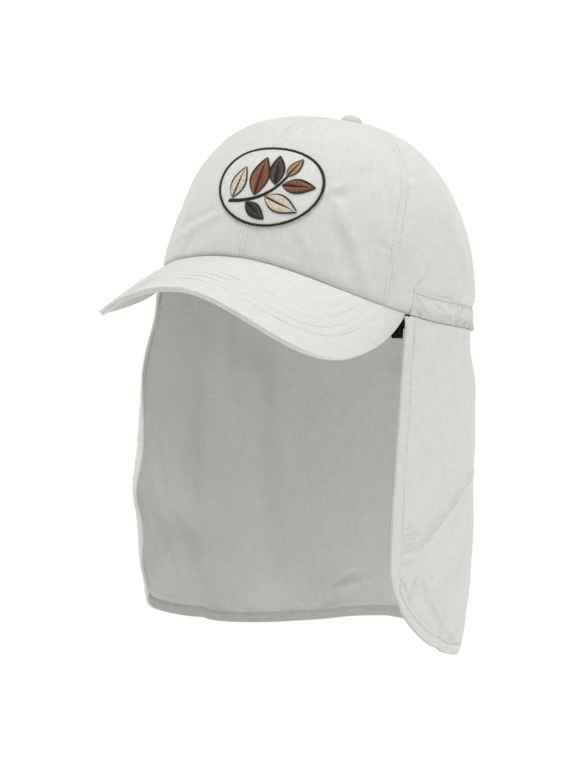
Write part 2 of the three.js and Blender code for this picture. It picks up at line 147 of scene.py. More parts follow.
# The foot of the flap: turn, then the drop on the left and on the right, as shares
FOOT = np.array([
    (62, 0.4, 0.7), (64, 0.505, 0.722), (66, 0.565, 0.74), (70, 0.635, 0.767), (75, 0.695, 0.797),
    (81, 0.753, 0.828), (87, 0.801, 0.856), (93, 0.836, 0.883), (101, 0.866, 0.912),
    (113, 0.903, 0.946), (130, 0.94, 0.975), (150, 0.96, 0.983), (165, 0.957, 0.97),
    (180, 0.957, 0.957),
])
# How far the foot rises over that line: turn, millimetres
FOOT_LIFTS = np.array([
    (64, 0), (105, 0), (122, 0.8), (140, 2.2), (165, 2.4), (200, 0.3), (232, -0.9), (250, -1.0),
    (271, -3.0), (286, -2.2), (296, -1.2),
])
# Broad folds of the flap: turn and drop at each end, width, and how far it stands out
FLAP_FOLDS = (
    (106, 0.43, 78, 0.52, 12, 2.6),
    (112, 0.57, 88, 0.64, 13, -2.6),
    (121, 0.46, 119, 0.98, 26, -1.8),
    (84, 0.62, 96, 0.8, 10, 1.8),
    (150, 0.25, 146, 0.95, 16, 3.3),
    (172, 0.3, 174, 0.95, 14, -2.7),
    (205, 0.25, 208, 0.9, 16, 3.0),
    (236, 0.3, 232, 0.95, 15, -2.7),
    (258, 0.3, 262, 0.85, 14, 2.4),
    (288, 0.5, 268, 0.66, 12, 2.4),
)

# Badge
EMBLEM_WIDTH = 66
EMBLEM_HEIGHT = 52
EMBLEM_ABOVE_RIM = 45
EMBLEM_ASIDE = 4
EMBLEM_THICKNESS = 0.8
OUTLINE_WIDTH = 2.2
OUTLINE_THREADS = 1.7
# Embroidery threads: radius, how far they arch out, and their pitch side by side
THREAD_RADIUS = 0.27
THREAD_ARCH = 0.35
THREAD_PITCH = 0.42
STEM_WIDTH = 2.4
LEAF_CLEAR = 0.9
LEAF_SLENDERNESS = 0.46
LEAF_BELLY = 0.85
STEM = ((-0.64, -0.5), (0.1, -0.42), (0.3, 0.23))
# Leaves: place along the stem, side, lean, length as a share of the badge's height, thread
LEAVES = (
    (0.03, 1, 78, 0.38, "cream"),
    (0.2, -1, 44, 0.31, "dark_brown"),
    (0.36, 1, 70, 0.47, "chestnut"),
    (0.5, -1, 48, 0.42, "cream"),
    (0.74, 1, 54, 0.37, "dark_brown"),
    (0.82, -1, 52, 0.36, "chestnut"),
    (1, 0, 0, 0.26, "tan"),
)

# Button and tab
BUTTON_DIAMETER = 13
BUTTON_HEIGHT = 4
ADJUSTER_START = 6.5
ADJUSTER_TILT = 0.1
ADJUSTER_WIDTH = 26
ADJUSTER_HEIGHT = 16
ADJUSTER_THICKNESS = 2
ADJUSTER_CORNER = 5
ADJUSTER_BELOW_RIM = 6
ADJUSTER_SEAT = 0.8

# Sewing stitches: radius, how far they arch out, their pitch, and how much of it they fill
STITCH_RADIUS = 0.2
STITCH_ARCH = 0.12
STITCH_PITCH = 2.6
STITCH_FILL = 0.66

# Camera: the photograph's direction, its distance, and what lies at the frame's middle
CAMERA_TURN = 29.67
CAMERA_RISE = 18.86
CAMERA_DISTANCE = 1675.4
CAMERA_ACROSS = -17.52
CAMERA_UP = -51.33
PHOTO_HEIGHT_PX = 768
PX_PER_MM = 1.66
SENSOR_MM = 36


# Small helpers for arrays of points

def stacked(*parts):
    return np.stack(np.broadcast_arrays(*parts), axis=-1).astype(float)


def powered(value, power):
    return np.sign(value) * np.abs(value) ** power


def unit(vectors):
    return vectors / np.maximum(np.linalg.norm(vectors, axis=-1, keepdims=True), 1e-12)


def bell(distance, width):
    return np.exp(-((distance / width) ** 2))


def step(value, low, high):
    """Rises smoothly from 0 at low to 1 at high."""
    share = np.clip((value - low) / (high - low), 0, 1)
    return share * share * (3 - 2 * share)


def wrapped(turn):
    """A turn as a value from -180 to 180."""
    return np.mod(turn + 180, 360) - 180


def folded(turn):
    """A turn from 0 to 360 as degrees from the front, on either side."""
    return np.minimum(turn, 360 - turn)


def around_crown(turn):
    """Millimetres round the crown to a turn."""
    return np.radians(turn) * CROWN_LENGTH / 2


def lengths_along(points, axis):
    """Distances along the rows or columns of a grid of points, from its first row or column."""
    gaps = np.linalg.norm(np.diff(points, axis=axis), axis=-1)
    start = np.zeros_like(np.take(gaps, [0], axis=axis))
    return np.concatenate([start, np.cumsum(gaps, axis=axis)], axis=axis)


def ripple(along, pitch, seed):
    """An uneven wave along a line, from -1 to 1, with about that pitch."""
    turn = 2 * np.pi * along / pitch
    slow = 0.7 * np.sin(turn / 1.618 + 2.3 * seed)
    quick = 0.5 * np.sin(turn * 1.37 + 5.1 * seed)
    return (np.sin(turn + seed) + slow + quick) / 2.2


def unevenness(points, pitch, seed):
    """Soft hills and hollows over the cloth, from about -1 to 1."""
    random = np.random.default_rng(seed)
    total = 0
    for _ in range(7):
        direction = unit(random.normal(size=3))
        length = pitch * random.uniform(0.7, 1.5)
        total = total + np.sin(points @ direction * 2 * np.pi / length + random.uniform(0, 6))
    return total / 3.5


def smooth_column(at, places, values):
    """A smooth curve through a table's column."""
    gaps = np.diff(places)
    slopes = np.diff(values) / gaps
    inner = (slopes[:-1] * gaps[1:] + slopes[1:] * gaps[:-1]) / (gaps[:-1] + gaps[1:])
    tangents = np.concatenate([slopes[:1], inner, slopes[-1:]])
    at = np.clip(at, places[0], places[-1])
    i = np.clip(np.searchsorted(places, at, side="right") - 1, 0, len(gaps) - 1)
    t = (at - places[i]) / gaps[i]
    return (
        (1 + 2 * t) * (1 - t) ** 2 * values[i]
        + t * (1 - t) ** 2 * gaps[i] * tangents[i]
        + t * t * (3 - 2 * t) * values[i + 1]
        + t * t * (t - 1) * gaps[i] * tangents[i + 1]
    )


# The crown's surface

def superellipse(turn, power):
    angle = np.radians(turn)
    return 1 / (np.abs(np.cos(angle)) ** power + np.abs(np.sin(angle)) ** power) ** (1 / power)


def rim_share(turn):
    return sum(lift * np.cos(np.radians(waves * turn)) for waves, lift in enumerate(RIM_WAVES))


def profile_power(turn):
    return CROWN_SIDE_POWER + CROWN_FRONT_POWER * np.cos(np.radians(turn))


def between_seams(turn):
    whole = np.mod(turn, 360)
    at = np.clip(np.searchsorted(SEAM_TURNS, whole), 1, 6)
    start, end = SEAM_TURNS[at - 1], SEAM_TURNS[at]
    return np.sin(np.pi * (whole - start) / (end - start))


def crown(turn, share, out=0.0):
    """A point of the crown's outer face at a turn and a share of its height, moved outward."""
    turn, share, out = np.broadcast_arrays(np.asarray(turn, float), share, out)
    side, front = np.sin(np.radians(turn)), np.cos(np.radians(turn))
    plan = CROWN_PLAN_POWER
    profile = profile_power(turn)
    reach = superellipse(turn, plan)
    narrow = np.maximum(1 - np.abs(share) ** profile, 0) ** (1 / profile)
    steep = narrow ** (profile - 1)
    half_width, half_length = CROWN_WIDTH / 2, CROWN_LENGTH / 2
    normal = unit(stacked(
        steep * powered(side * reach, plan - 1) / half_width,
        -steep * powered(front * reach, plan - 1) / half_length,
        powered(share, profile - 1) / CROWN_HEIGHT,
    ))
    swell = PANEL_SWELL * between_seams(turn) * narrow * (1 - narrow ** SWELL_POWER)
    point = stacked(
        half_width * narrow * side * reach,
        -half_length * narrow * front * reach + APEX_BACKSET * np.clip(share, 0, 1),
        CROWN_HEIGHT * share,
    ) + normal * (out + swell)[..., None]
    lean = math.radians(CROWN_LEAN)
    x, y, z = point[..., 0], point[..., 1], point[..., 2]
    return stacked(x, y * math.cos(lean) + z * math.sin(lean), z * math.cos(lean) - y * math.sin(lean))


def above_rim(turn, height, out=0.0):
    turn = np.asarray(turn, float)
    return crown(turn, rim_share(turn) + height / CROWN_HEIGHT, out)


# How far it is up the cloth from the rim, worked out once for each degree
CLIMB_COUNT = 240
CLIMB_TURNS = np.arange(361.0)
CLIMB_STEPS = np.linspace(0, 1, CLIMB_COUNT + 1)


def share_of(turn, climbed):
    """A share of the crown's height from a share of the way up, spaced evenly along the cloth."""
    profile = profile_power(turn)
    low = np.arcsin(powered(rim_share(turn), profile / 2))
    high = np.arccos((APEX_CLEARANCE / (CROWN_WIDTH / 2)) ** (profile / 2))
    return powered(np.sin(low + (high - low) * climbed), 2 / profile)


climb_points = crown(CLIMB_TURNS[:, None], share_of(CLIMB_TURNS[:, None], CLIMB_STEPS[None, :]))
CLIMB = lengths_along(climb_points, 1)


def climb_of(turn, climbed):
    """Millimetres up the cloth from the rim at a share of the way up."""
    whole = np.mod(turn, 360)
    i = np.minimum(whole.astype(int), 359)
    j = np.minimum((climbed * CLIMB_COUNT).astype(int), CLIMB_COUNT - 1)
    a, b = whole - i, climbed * CLIMB_COUNT - j
    low = CLIMB[i, j] * (1 - b) + CLIMB[i, j + 1] * b
    high = CLIMB[i + 1, j] * (1 - b) + CLIMB[i + 1, j + 1] * b
    return low * (1 - a) + high * a


def crown_at(turn, up, out=0.0):
    """A point on the crown at a turn and a distance up the cloth from the rim."""
    turn, up, out = np.broadcast_arrays(np.asarray(turn, float), up, out)
    flat_turn, flat_up = np.mod(turn.ravel(), 360), up.ravel()
    steps = np.array([
        np.interp(one_up, CLIMB[int(round(one_turn)) % 360], CLIMB_STEPS)
        for one_turn, one_up in zip(flat_turn, flat_up)
    ]).reshape(turn.shape)
    return crown(turn, share_of(turn, steps), out)


def seam_turn(index, up):
    """Where a seam runs: the side seams bow, and the front one stands a little to the right."""
    base = SEAM_TURNS[index]
    bow = -2.2 + 3.8 * step(up, 20, 80) - 1.6 * step(up, 90, 140)
    return base + {0: -1.8, 6: -1.8, 1: bow, 5: -bow}.get(index, 0.0) * step(CLIMB_GUESS - up, 0, 60)


# Creases of the crown: turn and distance up at each end, width, height
CROWN_CREASES = (
    (26.5, 51, 31, 56.5, 2.0, 0.8),
    (30, 55, 37, 66, 2.2, 0.75),
    (27, 46, 37, 56, 3.6, -0.5),
    (27, 51, 32, 45, 2.0, 0.75),
    (31.5, 46, 35.5, 39, 2.2, 0.6),
    (32, 41, 40.5, 27, 2.8, 0.85),
    (31, 33, 38, 20, 3.8, -0.7),
    (37, 22, 41, 8, 4.5, -0.7),
    (41, 26, 48, 7, 4.0, 0.8),
    (35, 60, 45, 80, 4.0, -0.5),
    (17, 21, 22, 14, 2.0, -0.8),
    (20, 22, 25, 15, 2.0, 0.5),
    (10, 18, 13, 8, 2.5, -0.5),
    (4, 17, 8, 8, 2.2, -0.45),
    (20, 20, 28, 8, 2.8, 0.5),
    (-13, 25, -27, 19, 1.9, 0.9),
    (-26, 20, -41, 10, 2.4, 0.9),
    (-17, 28, -35, 20, 3.5, -0.7),
    (-32, 40, -37, 20, 2.2, 0.7),
    (-28, 16, -33, 6, 2.4, 0.6),
    (-24, 14, -30, 3, 2.6, -0.6),
    (-5, 112, -2, 82, 2.4, 0.45),
    (2, 110, 4, 84, 2.8, -0.4),
    (8, 105, 12, 82, 2.6, 0.35),
    (50, 37, 54.5, 34.5, 1.2, 0.3),
    (50, 33.5, 54.5, 31, 1.2, -0.35),
    (51, 30, 55, 28, 1.2, 0.3),
    (51.5, 26, 55, 24.5, 1.2, -0.3),
    (-9, 84, -11, 96, 1.6, 0.5),
    (-6, 84, -7, 100, 1.6, -0.5),
    (69, 104, 62, 40, 4.0, 0.6),
    (86, 96, 88, 62, 7.0, 0.9),
    (88, 62, 106, 26, 7.0, 0.9),
    (66, 14, 73, 28, 1.8, -0.8),
    (68, 12, 76, 26, 2.6, 0.5),
    (84, 15, 95, 19, 1.8, -0.7),
    (88, 22, 104, 18, 3.0, 0.5),
    (75, 60, 72, 26, 8.0, -0.7),
    (140, 18, 150, 46, 6.0, -0.8),
    (160, 18, 166, 50, 5.0, 0.8),
    (196, 18, 188, 44, 5.0, -0.8),
    (214, 18, 208, 52, 6.0, 0.9),
    (256, 18, 262, 40, 5.0, -0.8),
    (286, 14, 276, 44, 6.0, 0.8),
    (-44, 12, -50, 34, 5.0, -0.7),
    (-52, 44, -44, 70, 6.0, 0.6),
)
CREASE_POINTS = 24
CREASE_DEPTH = 1.7
# Creases that lie further round than this many degrees are left out of a panel's sum
CREASE_REACH = 75


def crease_relief(points, line, width, height):
    """A soft ridge or hollow along a line of points on the cloth, fading at both ends."""
    flat = points.reshape(-1, 3)
    near = np.full(len(flat), 1e9)
    at = np.zeros(len(flat))
    for i, spot in enumerate(line):
        distance = np.linalg.norm(flat - spot, axis=1)
        closer = distance < near
        near[closer] = distance[closer]
        at[closer] = i / (len(line) - 1)
    fade = np.sin(np.pi * np.clip(0.08 + 0.84 * at, 0, 1)) ** 0.7
    return (height * fade * bell(near, width)).reshape(points.shape[:-1])


def creased(points, rows, place):
    """The relief of a table of creases, each from one place(a, b) on the cloth to another."""
    shares = np.linspace(0, 1, CREASE_POINTS)
    total = 0
    for start_a, start_b, end_a, end_b, width, height in rows:
        line = place(start_a + (end_a - start_a) * shares, start_b + (end_b - start_b) * shares)
        total = total + crease_relief(points, line, width, height)
    return total


def degree_length(turn, share):
    """Millimetres round the crown to one degree of turn, at a share of its height."""
    return np.linalg.norm(crown(turn + 0.25, share) - crown(turn - 0.25, share), axis=-1) * 2


def crown_relief(turn, climbed):
    """How far the cloth of the crown stands out of its plain shape."""
    share = share_of(turn, climbed)
    base = crown(turn, share)
    up = climb_of(turn, climbed)
    per_degree = degree_length(turn, share)
    relief = 0.3 * unevenness(base, 34, 3) + 0.12 * unevenness(base, 13, 5)
    for index in range(6):
        size = np.abs(wrapped(turn - seam_turn(index, up)) * per_degree)
        lively = step(up, 2, 12) * step(118 - up, 0, 40)
        quiet = 1 - 0.65 * step(up, 60, 80) if index == 0 else 1.0
        pucker = ripple(up, 6.5, index + 1.0) * bell(size - SEAM_STITCH - 3.2, 3.2)
        relief = relief + 0.28 * lively * pucker * (0.5 + 0.5 * ripple(up, 31, index + 4.0))
        relief = relief + quiet * SEAM_RISE * step(SEAM_STRIP + 0.5 - size, 0, 0.9)
        relief = relief - quiet * SEAM_GROOVE * bell(size, 0.5)
        relief = relief - quiet * STITCH_DIP * bell(size - SEAM_STITCH, STITCH_DIP_WIDTH)
    close = [row for row in CROWN_CREASES
             if abs(wrapped((row[0] + row[2]) / 2 - np.mean(turn))) <= CREASE_REACH]
    relief = relief + CREASE_DEPTH * creased(base, close, crown_at)
    behind = step(np.abs(wrapped(turn)), BAND_TURN + 0.2, BAND_TURN + 1.2)
    over = np.maximum(up - BAND_HEIGHT, 0)
    relief = relief + behind * 0.45 * ripple(around_crown(turn), 6.1, 2.0) * bell(over - 3, 6)
    # The photo's crown is a little flatter on the wearer's right
    relief = relief - 2.2 * bell(np.mod(turn, 360) - 300, 24) * bell(up - 50, 27)
    relief = relief + SIDE_FULLNESS * step(np.abs(wrapped(turn)), 84, 104) * bell(over - 12, 16)
    under_band = behind * step(BAND_HEIGHT - 0.6 - up, 0, 1.2)
    tucked = (1 - behind) * bell(up, 1.3)
    return relief * (1 - under_band) - 0.35 * under_band - tucked


# Making meshes

def laid(name, columns, rows, place, wall):
    """A grid primitive moved onto a surface, then given its wall inwards.
    place(u, v, out) gives points in millimetres, moved outward by out."""
    bpy.ops.object.select_all(action="DESELECT")
    bpy.ops.mesh.primitive_grid_add(x_subdivisions=columns, y_subdivisions=rows, size=1)
    piece = bpy.context.object
    piece.name = piece.data.name = name
    mesh = piece.data
    seed = np.zeros(len(mesh.vertices) * 3)
    mesh.vertices.foreach_get("co", seed)
    seed = seed.reshape(-1, 3)
    i = np.rint((seed[:, 0] + 0.5) * columns).astype(int)
    j = np.rint((seed[:, 1] + 0.5) * rows).astype(int)
    u, v = np.meshgrid(np.linspace(0, 1, columns + 1), np.linspace(0, 1, rows + 1), indexing="ij")
    points = place(u, v, 0.0)
    outward = place(u, v, 1.0) - points
    mesh.vertices.foreach_set("co", (points[i, j] * METRE).ravel())
    mesh.update()
    across, along = lengths_along(points, 0), lengths_along(points, 1)
    across -= across[columns // 2]
    uv = np.stack([across[i, j], along[i, j]], -1) * METRE
    corner = np.zeros(len(mesh.loops), int)
    mesh.loops.foreach_get("vertex_index", corner)
    mesh.uv_layers.active.data.foreach_set("uv", uv[corner].astype(np.float32).ravel())
    normals = np.zeros(len(mesh.vertices) * 3)
    mesh.vertices.foreach_get("normal", normals)
    facing = (normals.reshape(-1, 3) * outward[i, j]).sum(-1).mean()
    bpy.ops.object.mode_set(mode="EDIT")
    bpy.ops.mesh.select_all(action="SELECT")
    if facing < 0:
        bpy.ops.mesh.flip_normals()
    bpy.ops.object.mode_set(mode="OBJECT")
    solid = piece.modifiers.new("wall", "SOLIDIFY")
    solid.thickness = wall * METRE
    solid.offset = -1
    solid.material_offset = 1
    bpy.ops.object.modifier_apply(modifier="wall")
    bpy.ops.object.shade_smooth()
    return piece


def only(piece):
    """Makes a piece the one that is selected and active."""
    bpy.ops.object.select_all(action="DESELECT")
    bpy.context.view_layer.objects.active = piece
    piece.select_set(True)


def rounded(piece, width):
    """Rounds a piece's sharp edges."""
    only(piece)
    bevel = piece.modifiers.new("edge", "BEVEL")
    bevel.width = width * METRE
    bevel.segments = 3
    bevel.limit_method = "ANGLE"
    bevel.angle_limit = math.radians(50)
    bpy.ops.object.modifier_apply(modifier="edge")
    bpy.ops.object.shade_smooth()
    return piece


def finished(piece, slot, materials, *nodes):
    """Gives a piece its materials and its body, and hides the CAD nodes that it stands for. The slot is not
    used.
    """
    piece.data.materials.clear()
    for material in materials:
        piece.data.materials.append(material)
    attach(piece, "root")
    if nodes:
        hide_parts(*nodes)
    return piece


# One stitch or thread: a short rounded bar, copied along a line of places

BAR_SIDES = 6


def bar_template(rings):
    """Points and faces of a bar from -0.5 to 0.5 along X, with its ends pinched and sunk."""
    sides = BAR_SIDES
    points, faces = [], []
    for ring in range(rings + 1):
        along = ring / rings - 0.5
        round_off = math.sqrt(max(1 - (abs(along) * 2) ** 4, 0.02))
        sink = 1 - (abs(along) * 2) ** 2
        for side in range(sides):
            angle = 2 * math.pi * side / sides
            points.append((along, math.cos(angle) * round_off, math.sin(angle) * round_off, sink))
    for ring in range(rings):
        for side in range(sides):
            a, b = ring * sides + side, ring * sides + (side + 1) % sides
            faces.append((a, b, b + sides, a + sides))
    faces.append(tuple(reversed(range(sides))))
    faces.append(tuple(range(rings * sides, rings * sides + sides)))
    return np.array(points), faces


def bars(name, starts, ends, outs, radius, arch, rings=4):
    """Many bars in one mesh. Each runs from a start to an end, arched outward."""
    template, faces = bar_template(rings)
    count = len(starts)
    middle = (starts + ends) / 2
    along = ends - starts
    length = np.linalg.norm(along, axis=1, keepdims=True)
    along = along / np.maximum(length, 1e-9)
    outs = unit(outs - (outs * along).sum(-1, keepdims=True) * along)
    side = np.cross(outs, along)
    x = template[None, :, 0:1] * length[:, None]
    y = template[None, :, 1:2] * radius
    z = template[None, :, 2:3] * radius + template[None, :, 3:4] * arch
    points = middle[:, None] + along[:, None] * x + side[:, None] * y + outs[:, None] * z
    per = len(template)
    all_faces = [tuple(k + n * per for k in face) for n in range(count) for face in faces]
    mesh = bpy.data.meshes.new(name)
    mesh.from_pydata((points.reshape(-1, 3) * METRE).tolist(), [], all_faces)
    piece = bpy.data.objects.new(name, mesh)
    bpy.context.scene.collection.objects.link(piece)
    only(piece)
    bpy.ops.object.shade_smooth()
    return piece


def spaced(points, pitch):
    """Places every pitch along a polyline, as indices with shares between its points."""
    lengths = lengths_along(points, 0)
    count = max(int(lengths[-1] / pitch), 1)
    return np.interp(np.arange(count + 1) * (lengths[-1] / count), lengths, np.arange(len(points)))


def read_at(values, places):
    i = np.minimum(places.astype(int), len(values) - 2)
    share = (places - i)[:, None]
    return values[i] * (1 - share) + values[i + 1] * share


def stitch_line(line, normals, pitch, fill):
    """Starts, ends and outward directions of the stitches along a line."""
    places = spaced(line, pitch)
    gap = (1 - fill) / 2
    starts = read_at(line, places[:-1] + (places[1:] - places[:-1]) * gap)
    ends = read_at(line, places[:-1] + (places[1:] - places[:-1]) * (1 - gap))
    outs = read_at(normals, (places[:-1] + places[1:]) / 2)
    return starts, ends, outs


def joined(parts):
    """Starts, ends and outward directions of several rows of bars, as three arrays."""
    return [np.concatenate([part[k] for part in parts]) for k in range(3)]


def stitches(name, lines, radius=STITCH_RADIUS, arch=STITCH_ARCH, pitch=STITCH_PITCH, fill=STITCH_FILL):
    parts = [stitch_line(line, normals, pitch, fill) for line, normals in lines]
    return bars(name, *joined(parts), radius, arch)


# Materials

def linear(code):
    """A hex sRGB colour as linear red, green, blue and alpha."""
    channels = [int(code[i:i + 2], 16) / 255 for i in (1, 3, 5)]
    return [c / 12.92 if c <= 0.04045 else ((c + 0.055) / 1.055) ** 2.4 for c in channels] + [1.0]


def add(tree, kind, links, **settings):
    """Adds a node, with its settings and the values or outputs that its sockets take."""
    made = tree.nodes.new(kind)
    for name, value in settings.items():
        setattr(made, name, value)
    for socket, value in links.items():
        if isinstance(value, bpy.types.NodeSocket):
            tree.links.new(value, made.inputs[socket])
        else:
            made.inputs[socket].default_value = value
    return made


def wave_scale(pitch):
    """The scale of a banded Wave Texture whose bands lie a pitch apart, in millimetres."""
    return math.pi / 10 / (pitch * METRE)


def shader(name):
    material = bpy.data.materials.new(name)
    material.use_nodes = True
    tree = material.node_tree
    return material, tree, tree.nodes["Principled BSDF"]


def maths(tree, operation, *values):
    return add(tree, "ShaderNodeMath", dict(enumerate(values)), operation=operation).outputs[0]


def surfaced(tree, skin, mix, shade, colour, height, strength, depth, roughness):
    """Joins a mix of two colours and a bump, its depth in millimetres, to the skin."""
    colours = add(tree, "ShaderNodeMix", {"Factor": mix, "A": linear(shade), "B": linear(colour)},
                  data_type="RGBA")
    bump = add(tree, "ShaderNodeBump", {"Height": height, "Strength": strength, "Distance": depth * METRE})
    tree.links.new(colours.outputs["Result"], skin.inputs["Base Color"])
    tree.links.new(bump.outputs[0], skin.inputs["Normal"])
    skin.inputs["Roughness"].default_value = roughness


def woven(name, colour, shade, pitch, depth, roughness, sheen):
    """Plain-woven cloth: warp and weft as crossing bands, with slubs where a thread runs thick."""
    material, tree, skin = shader(name)
    uv = add(tree, "ShaderNodeUVMap", {}, uv_map="UVMap").outputs["UV"]
    wavy = {"Vector": uv, "Scale": wave_scale(pitch), "Distortion": 4.0, "Detail": 2.0, "Detail Scale": 1.5}
    slub_scale = 0.55 / (pitch * METRE)
    bands, slubs = [], []
    for direction, stretch in (("X", (1.0, 0.22, 1.0)), ("Y", (0.22, 1.0, 1.0))):
        wave = add(tree, "ShaderNodeTexWave", wavy, wave_type="BANDS", bands_direction=direction)
        bands.append(wave.outputs["Fac"])
        drawn = add(tree, "ShaderNodeMapping", {"Vector": uv, "Scale": stretch}).outputs[0]
        noise = add(tree, "ShaderNodeTexNoise", {"Vector": drawn, "Scale": slub_scale, "Detail": 2.0})
        slubs.append(noise.outputs["Fac"])
    threads = maths(tree, "MULTIPLY", maths(tree, "ADD", *bands), 0.45)
    runs = maths(tree, "ADD", *slubs)
    height = maths(tree, "MULTIPLY_ADD", runs, 0.9, threads)
    fleck = add(tree, "ShaderNodeMapRange", {"Value": runs, "From Min": 0.7, "From Max": 1.3}).outputs[0]
    weave = maths(tree, "MULTIPLY_ADD", threads, 0.25, fleck)
    surfaced(tree, skin, weave, shade, colour, height, 1.0, depth, roughness)
    skin.inputs["Sheen Weight"].default_value = sheen
    skin.inputs["Sheen Roughness"].default_value = 0.5
    skin.inputs["Specular IOR Level"].default_value = 0.25
    return material


def thread(name, colour, shade, roughness=0.45):
    """Embroidery thread: trilobal polyester, so it is glossier than the cloth and streaked."""
    material, tree, skin = shader(name)
    place = add(tree, "ShaderNodeTexCoord", {}).outputs["Object"]
    streak = add(tree, "ShaderNodeTexNoise", {"Vector": place, "Scale": 900.0, "Detail": 2.0}).outputs["Fac"]
    fleck = add(tree, "ShaderNodeMapRange", {"Value": streak, "From Min": 0.36, "From Max": 0.6}).outputs[0]
    surfaced(tree, skin, fleck, shade, colour, streak, 0.6, 0.15, roughness)
    return material


# The weave is drawn at 1.3 mm, coarser than the real 0.3 mm, so that it shows in the render
cloth = woven("brushed_microfibre", "#DEDFDA", "#D5D6D1", 1.3, 0.065, 0.85, 0.2)
reverse = woven("microfibre_reverse", "#CDCEC9", "#C2C3BE", 1.3, 0.10, 0.9, 0.1)
webbing = woven("black_polypropylene_webbing", "#15120F", "#0C0A09", 1.4, 0.3, 0.6, 0.0)
ground_thread = woven("white_rayon_fill", "#E4E5E1", "#D5D6D2", 1.1, 0.12, 0.55, 0.0)
THREADS = {
    "black": thread("black_rayon_thread", "#191614", "#0B0909"),
    "cream": thread("cream_rayon_thread", "#E4D8C2", "#C4B49A"),
    "tan": thread("tan_rayon_thread", "#BC9068", "#99704B"),
    "chestnut": thread("chestnut_rayon_thread", "#8B5232", "#683A22"),
    "dark_brown": thread("dark_brown_rayon_thread", "#43302C", "#2C1D1B"),
    "white": thread("white_sewing_thread", "#D8D9D4", "#CBCCC7", 0.6),
    # White sewing thread darkened with painted shade, for the dark shaded line along the casing's and the
    # hem's stitching
    "shaded": thread("white_thread_with_painted_shade", "#C3C4BE", "#B4B5AF", 0.6),
}


# Crown pieces

def crowded(u, strength):
    return u - strength * np.sin(2 * np.pi * u) / (2 * np.pi)


def panel(index):
    def place(u, v, out):
        start, end = seam_turn(index, CLIMB_GUESS * v), seam_turn(index + 1, CLIMB_GUESS * v)
        turn = start + (end - start) * crowded(u, 0.85)
        return crown(turn, share_of(turn, v), crown_relief(turn, v) + out)
    return laid(f"crown_panel_{PANEL_NAMES[index]}", 64, 96, place, CLOTH)


def covered_button():
    """A domed button: cloth pulled over a disc and gathered under its edge."""
    radius = BUTTON_DIAMETER / 2
    bpy.ops.object.select_all(action="DESELECT")
    bpy.ops.mesh.primitive_uv_sphere_add(segments=64, ring_count=32, radius=1)
    piece = bpy.context.object
    piece.name = piece.data.name = "covered_button"
    lean = math.radians(CROWN_LEAN)
    seat = crown(0.0, 1.0, 0.0)
    for vertex in piece.data.vertices:
        x, y, z = vertex.co
        flat = math.hypot(x, y)
        angle = math.atan2(y, x)
        fold = 1 + 0.012 * math.cos(11 * angle) * flat ** 6
        dome = max(z, -0.25) * BUTTON_HEIGHT
        x, y, z = x * radius * fold, y * radius * fold, dome + 0.6
        vertex.co = Vector((
            seat[0] + x,
            seat[1] + y * math.cos(lean) + z * math.sin(lean),
            seat[2] + z * math.cos(lean) - y * math.sin(lean),
        )) * METRE
    bpy.ops.object.shade_smooth()
    return piece


# Peak

def peak_edge(u):
    angle = u * np.pi / 2
    end, front = above_rim(PEAK_TURN, 0), above_rim(0, 0)
    across = powered(np.sin(angle), 2 / PEAK_CORNER_POWER)
    along = np.cos(angle) ** (2 / PEAK_CORNER_POWER)
    x = across * (end[0] + PEAK_SIDE_SWELL * np.abs(np.sin(2 * angle)))
    arch = front[2] - PEAK_ARCH * np.abs(x / end[0]) ** PEAK_ARCH_POWER
    blend = (1 - along) ** PEAK_END_POWER
    far = np.clip((-PEAK_FAR_START - u) / (1 - PEAK_FAR_START), 0, 1)
    far_lift = PEAK_FAR_LIFT * np.sin(np.pi * far)
    return stacked(x, end[1] - PEAK_REACH * along, arch + (end[2] - arch) * blend + far_lift)


def peak_face(u, v):
    u, v = np.broadcast_arrays(np.asarray(u, float), v)
    inner = above_rim(u * PEAK_TURN, 0, -0.3)
    point = inner + (peak_edge(u) - inner) * v[..., None]
    point[..., 2] += PEAK_BOW * np.sin(np.pi * v) * (1 - u * u)
    return point


def peak_normal(u, v):
    """The upward normal of the peak's top face."""
    small = 1e-3
    along_u = peak_face(u + small, v) - peak_face(u - small, v)
    along_v = peak_face(u, v + small) - peak_face(u, v - small)
    return -unit(np.cross(along_u, along_v))


EDGE_LINE = peak_edge(np.linspace(-1, 1, 401))


def from_edge(points):
    """Distance of points on the peak from its outer edge."""
    flat = points.reshape(-1, 3)
    near = np.full(len(flat), 1e9)
    for spot in EDGE_LINE:
        near = np.minimum(near, ((flat - spot) ** 2).sum(1))
    return np.sqrt(near).reshape(points.shape[:-1])


def peak_relief(points):
    away = from_edge(points)
    relief = 0.15 * unevenness(points, 26, 9) * step(away, 2, 10)
    for row in PEAK_ROWS:
        relief = relief - PEAK_GROOVE * bell(away - row, PEAK_GROOVE_WIDTH)
        relief = relief + 0.08 * bell(away - row - 2.9, 2.2)
    return relief


def peak_layer(name, depth, relief_on):
    def place(u, v, out):
        across = PEAK_END * np.sin(np.pi * (u - 0.5))
        base = peak_face(across, v)
        relief = peak_relief(base) if relief_on else 0.1 * unevenness(base, 22, 12)
        return base + peak_normal(across, v) * (out + relief - depth)[..., None]
    return rounded(laid(name, 176, 72, place, PEAK_LAYER), 0.6)


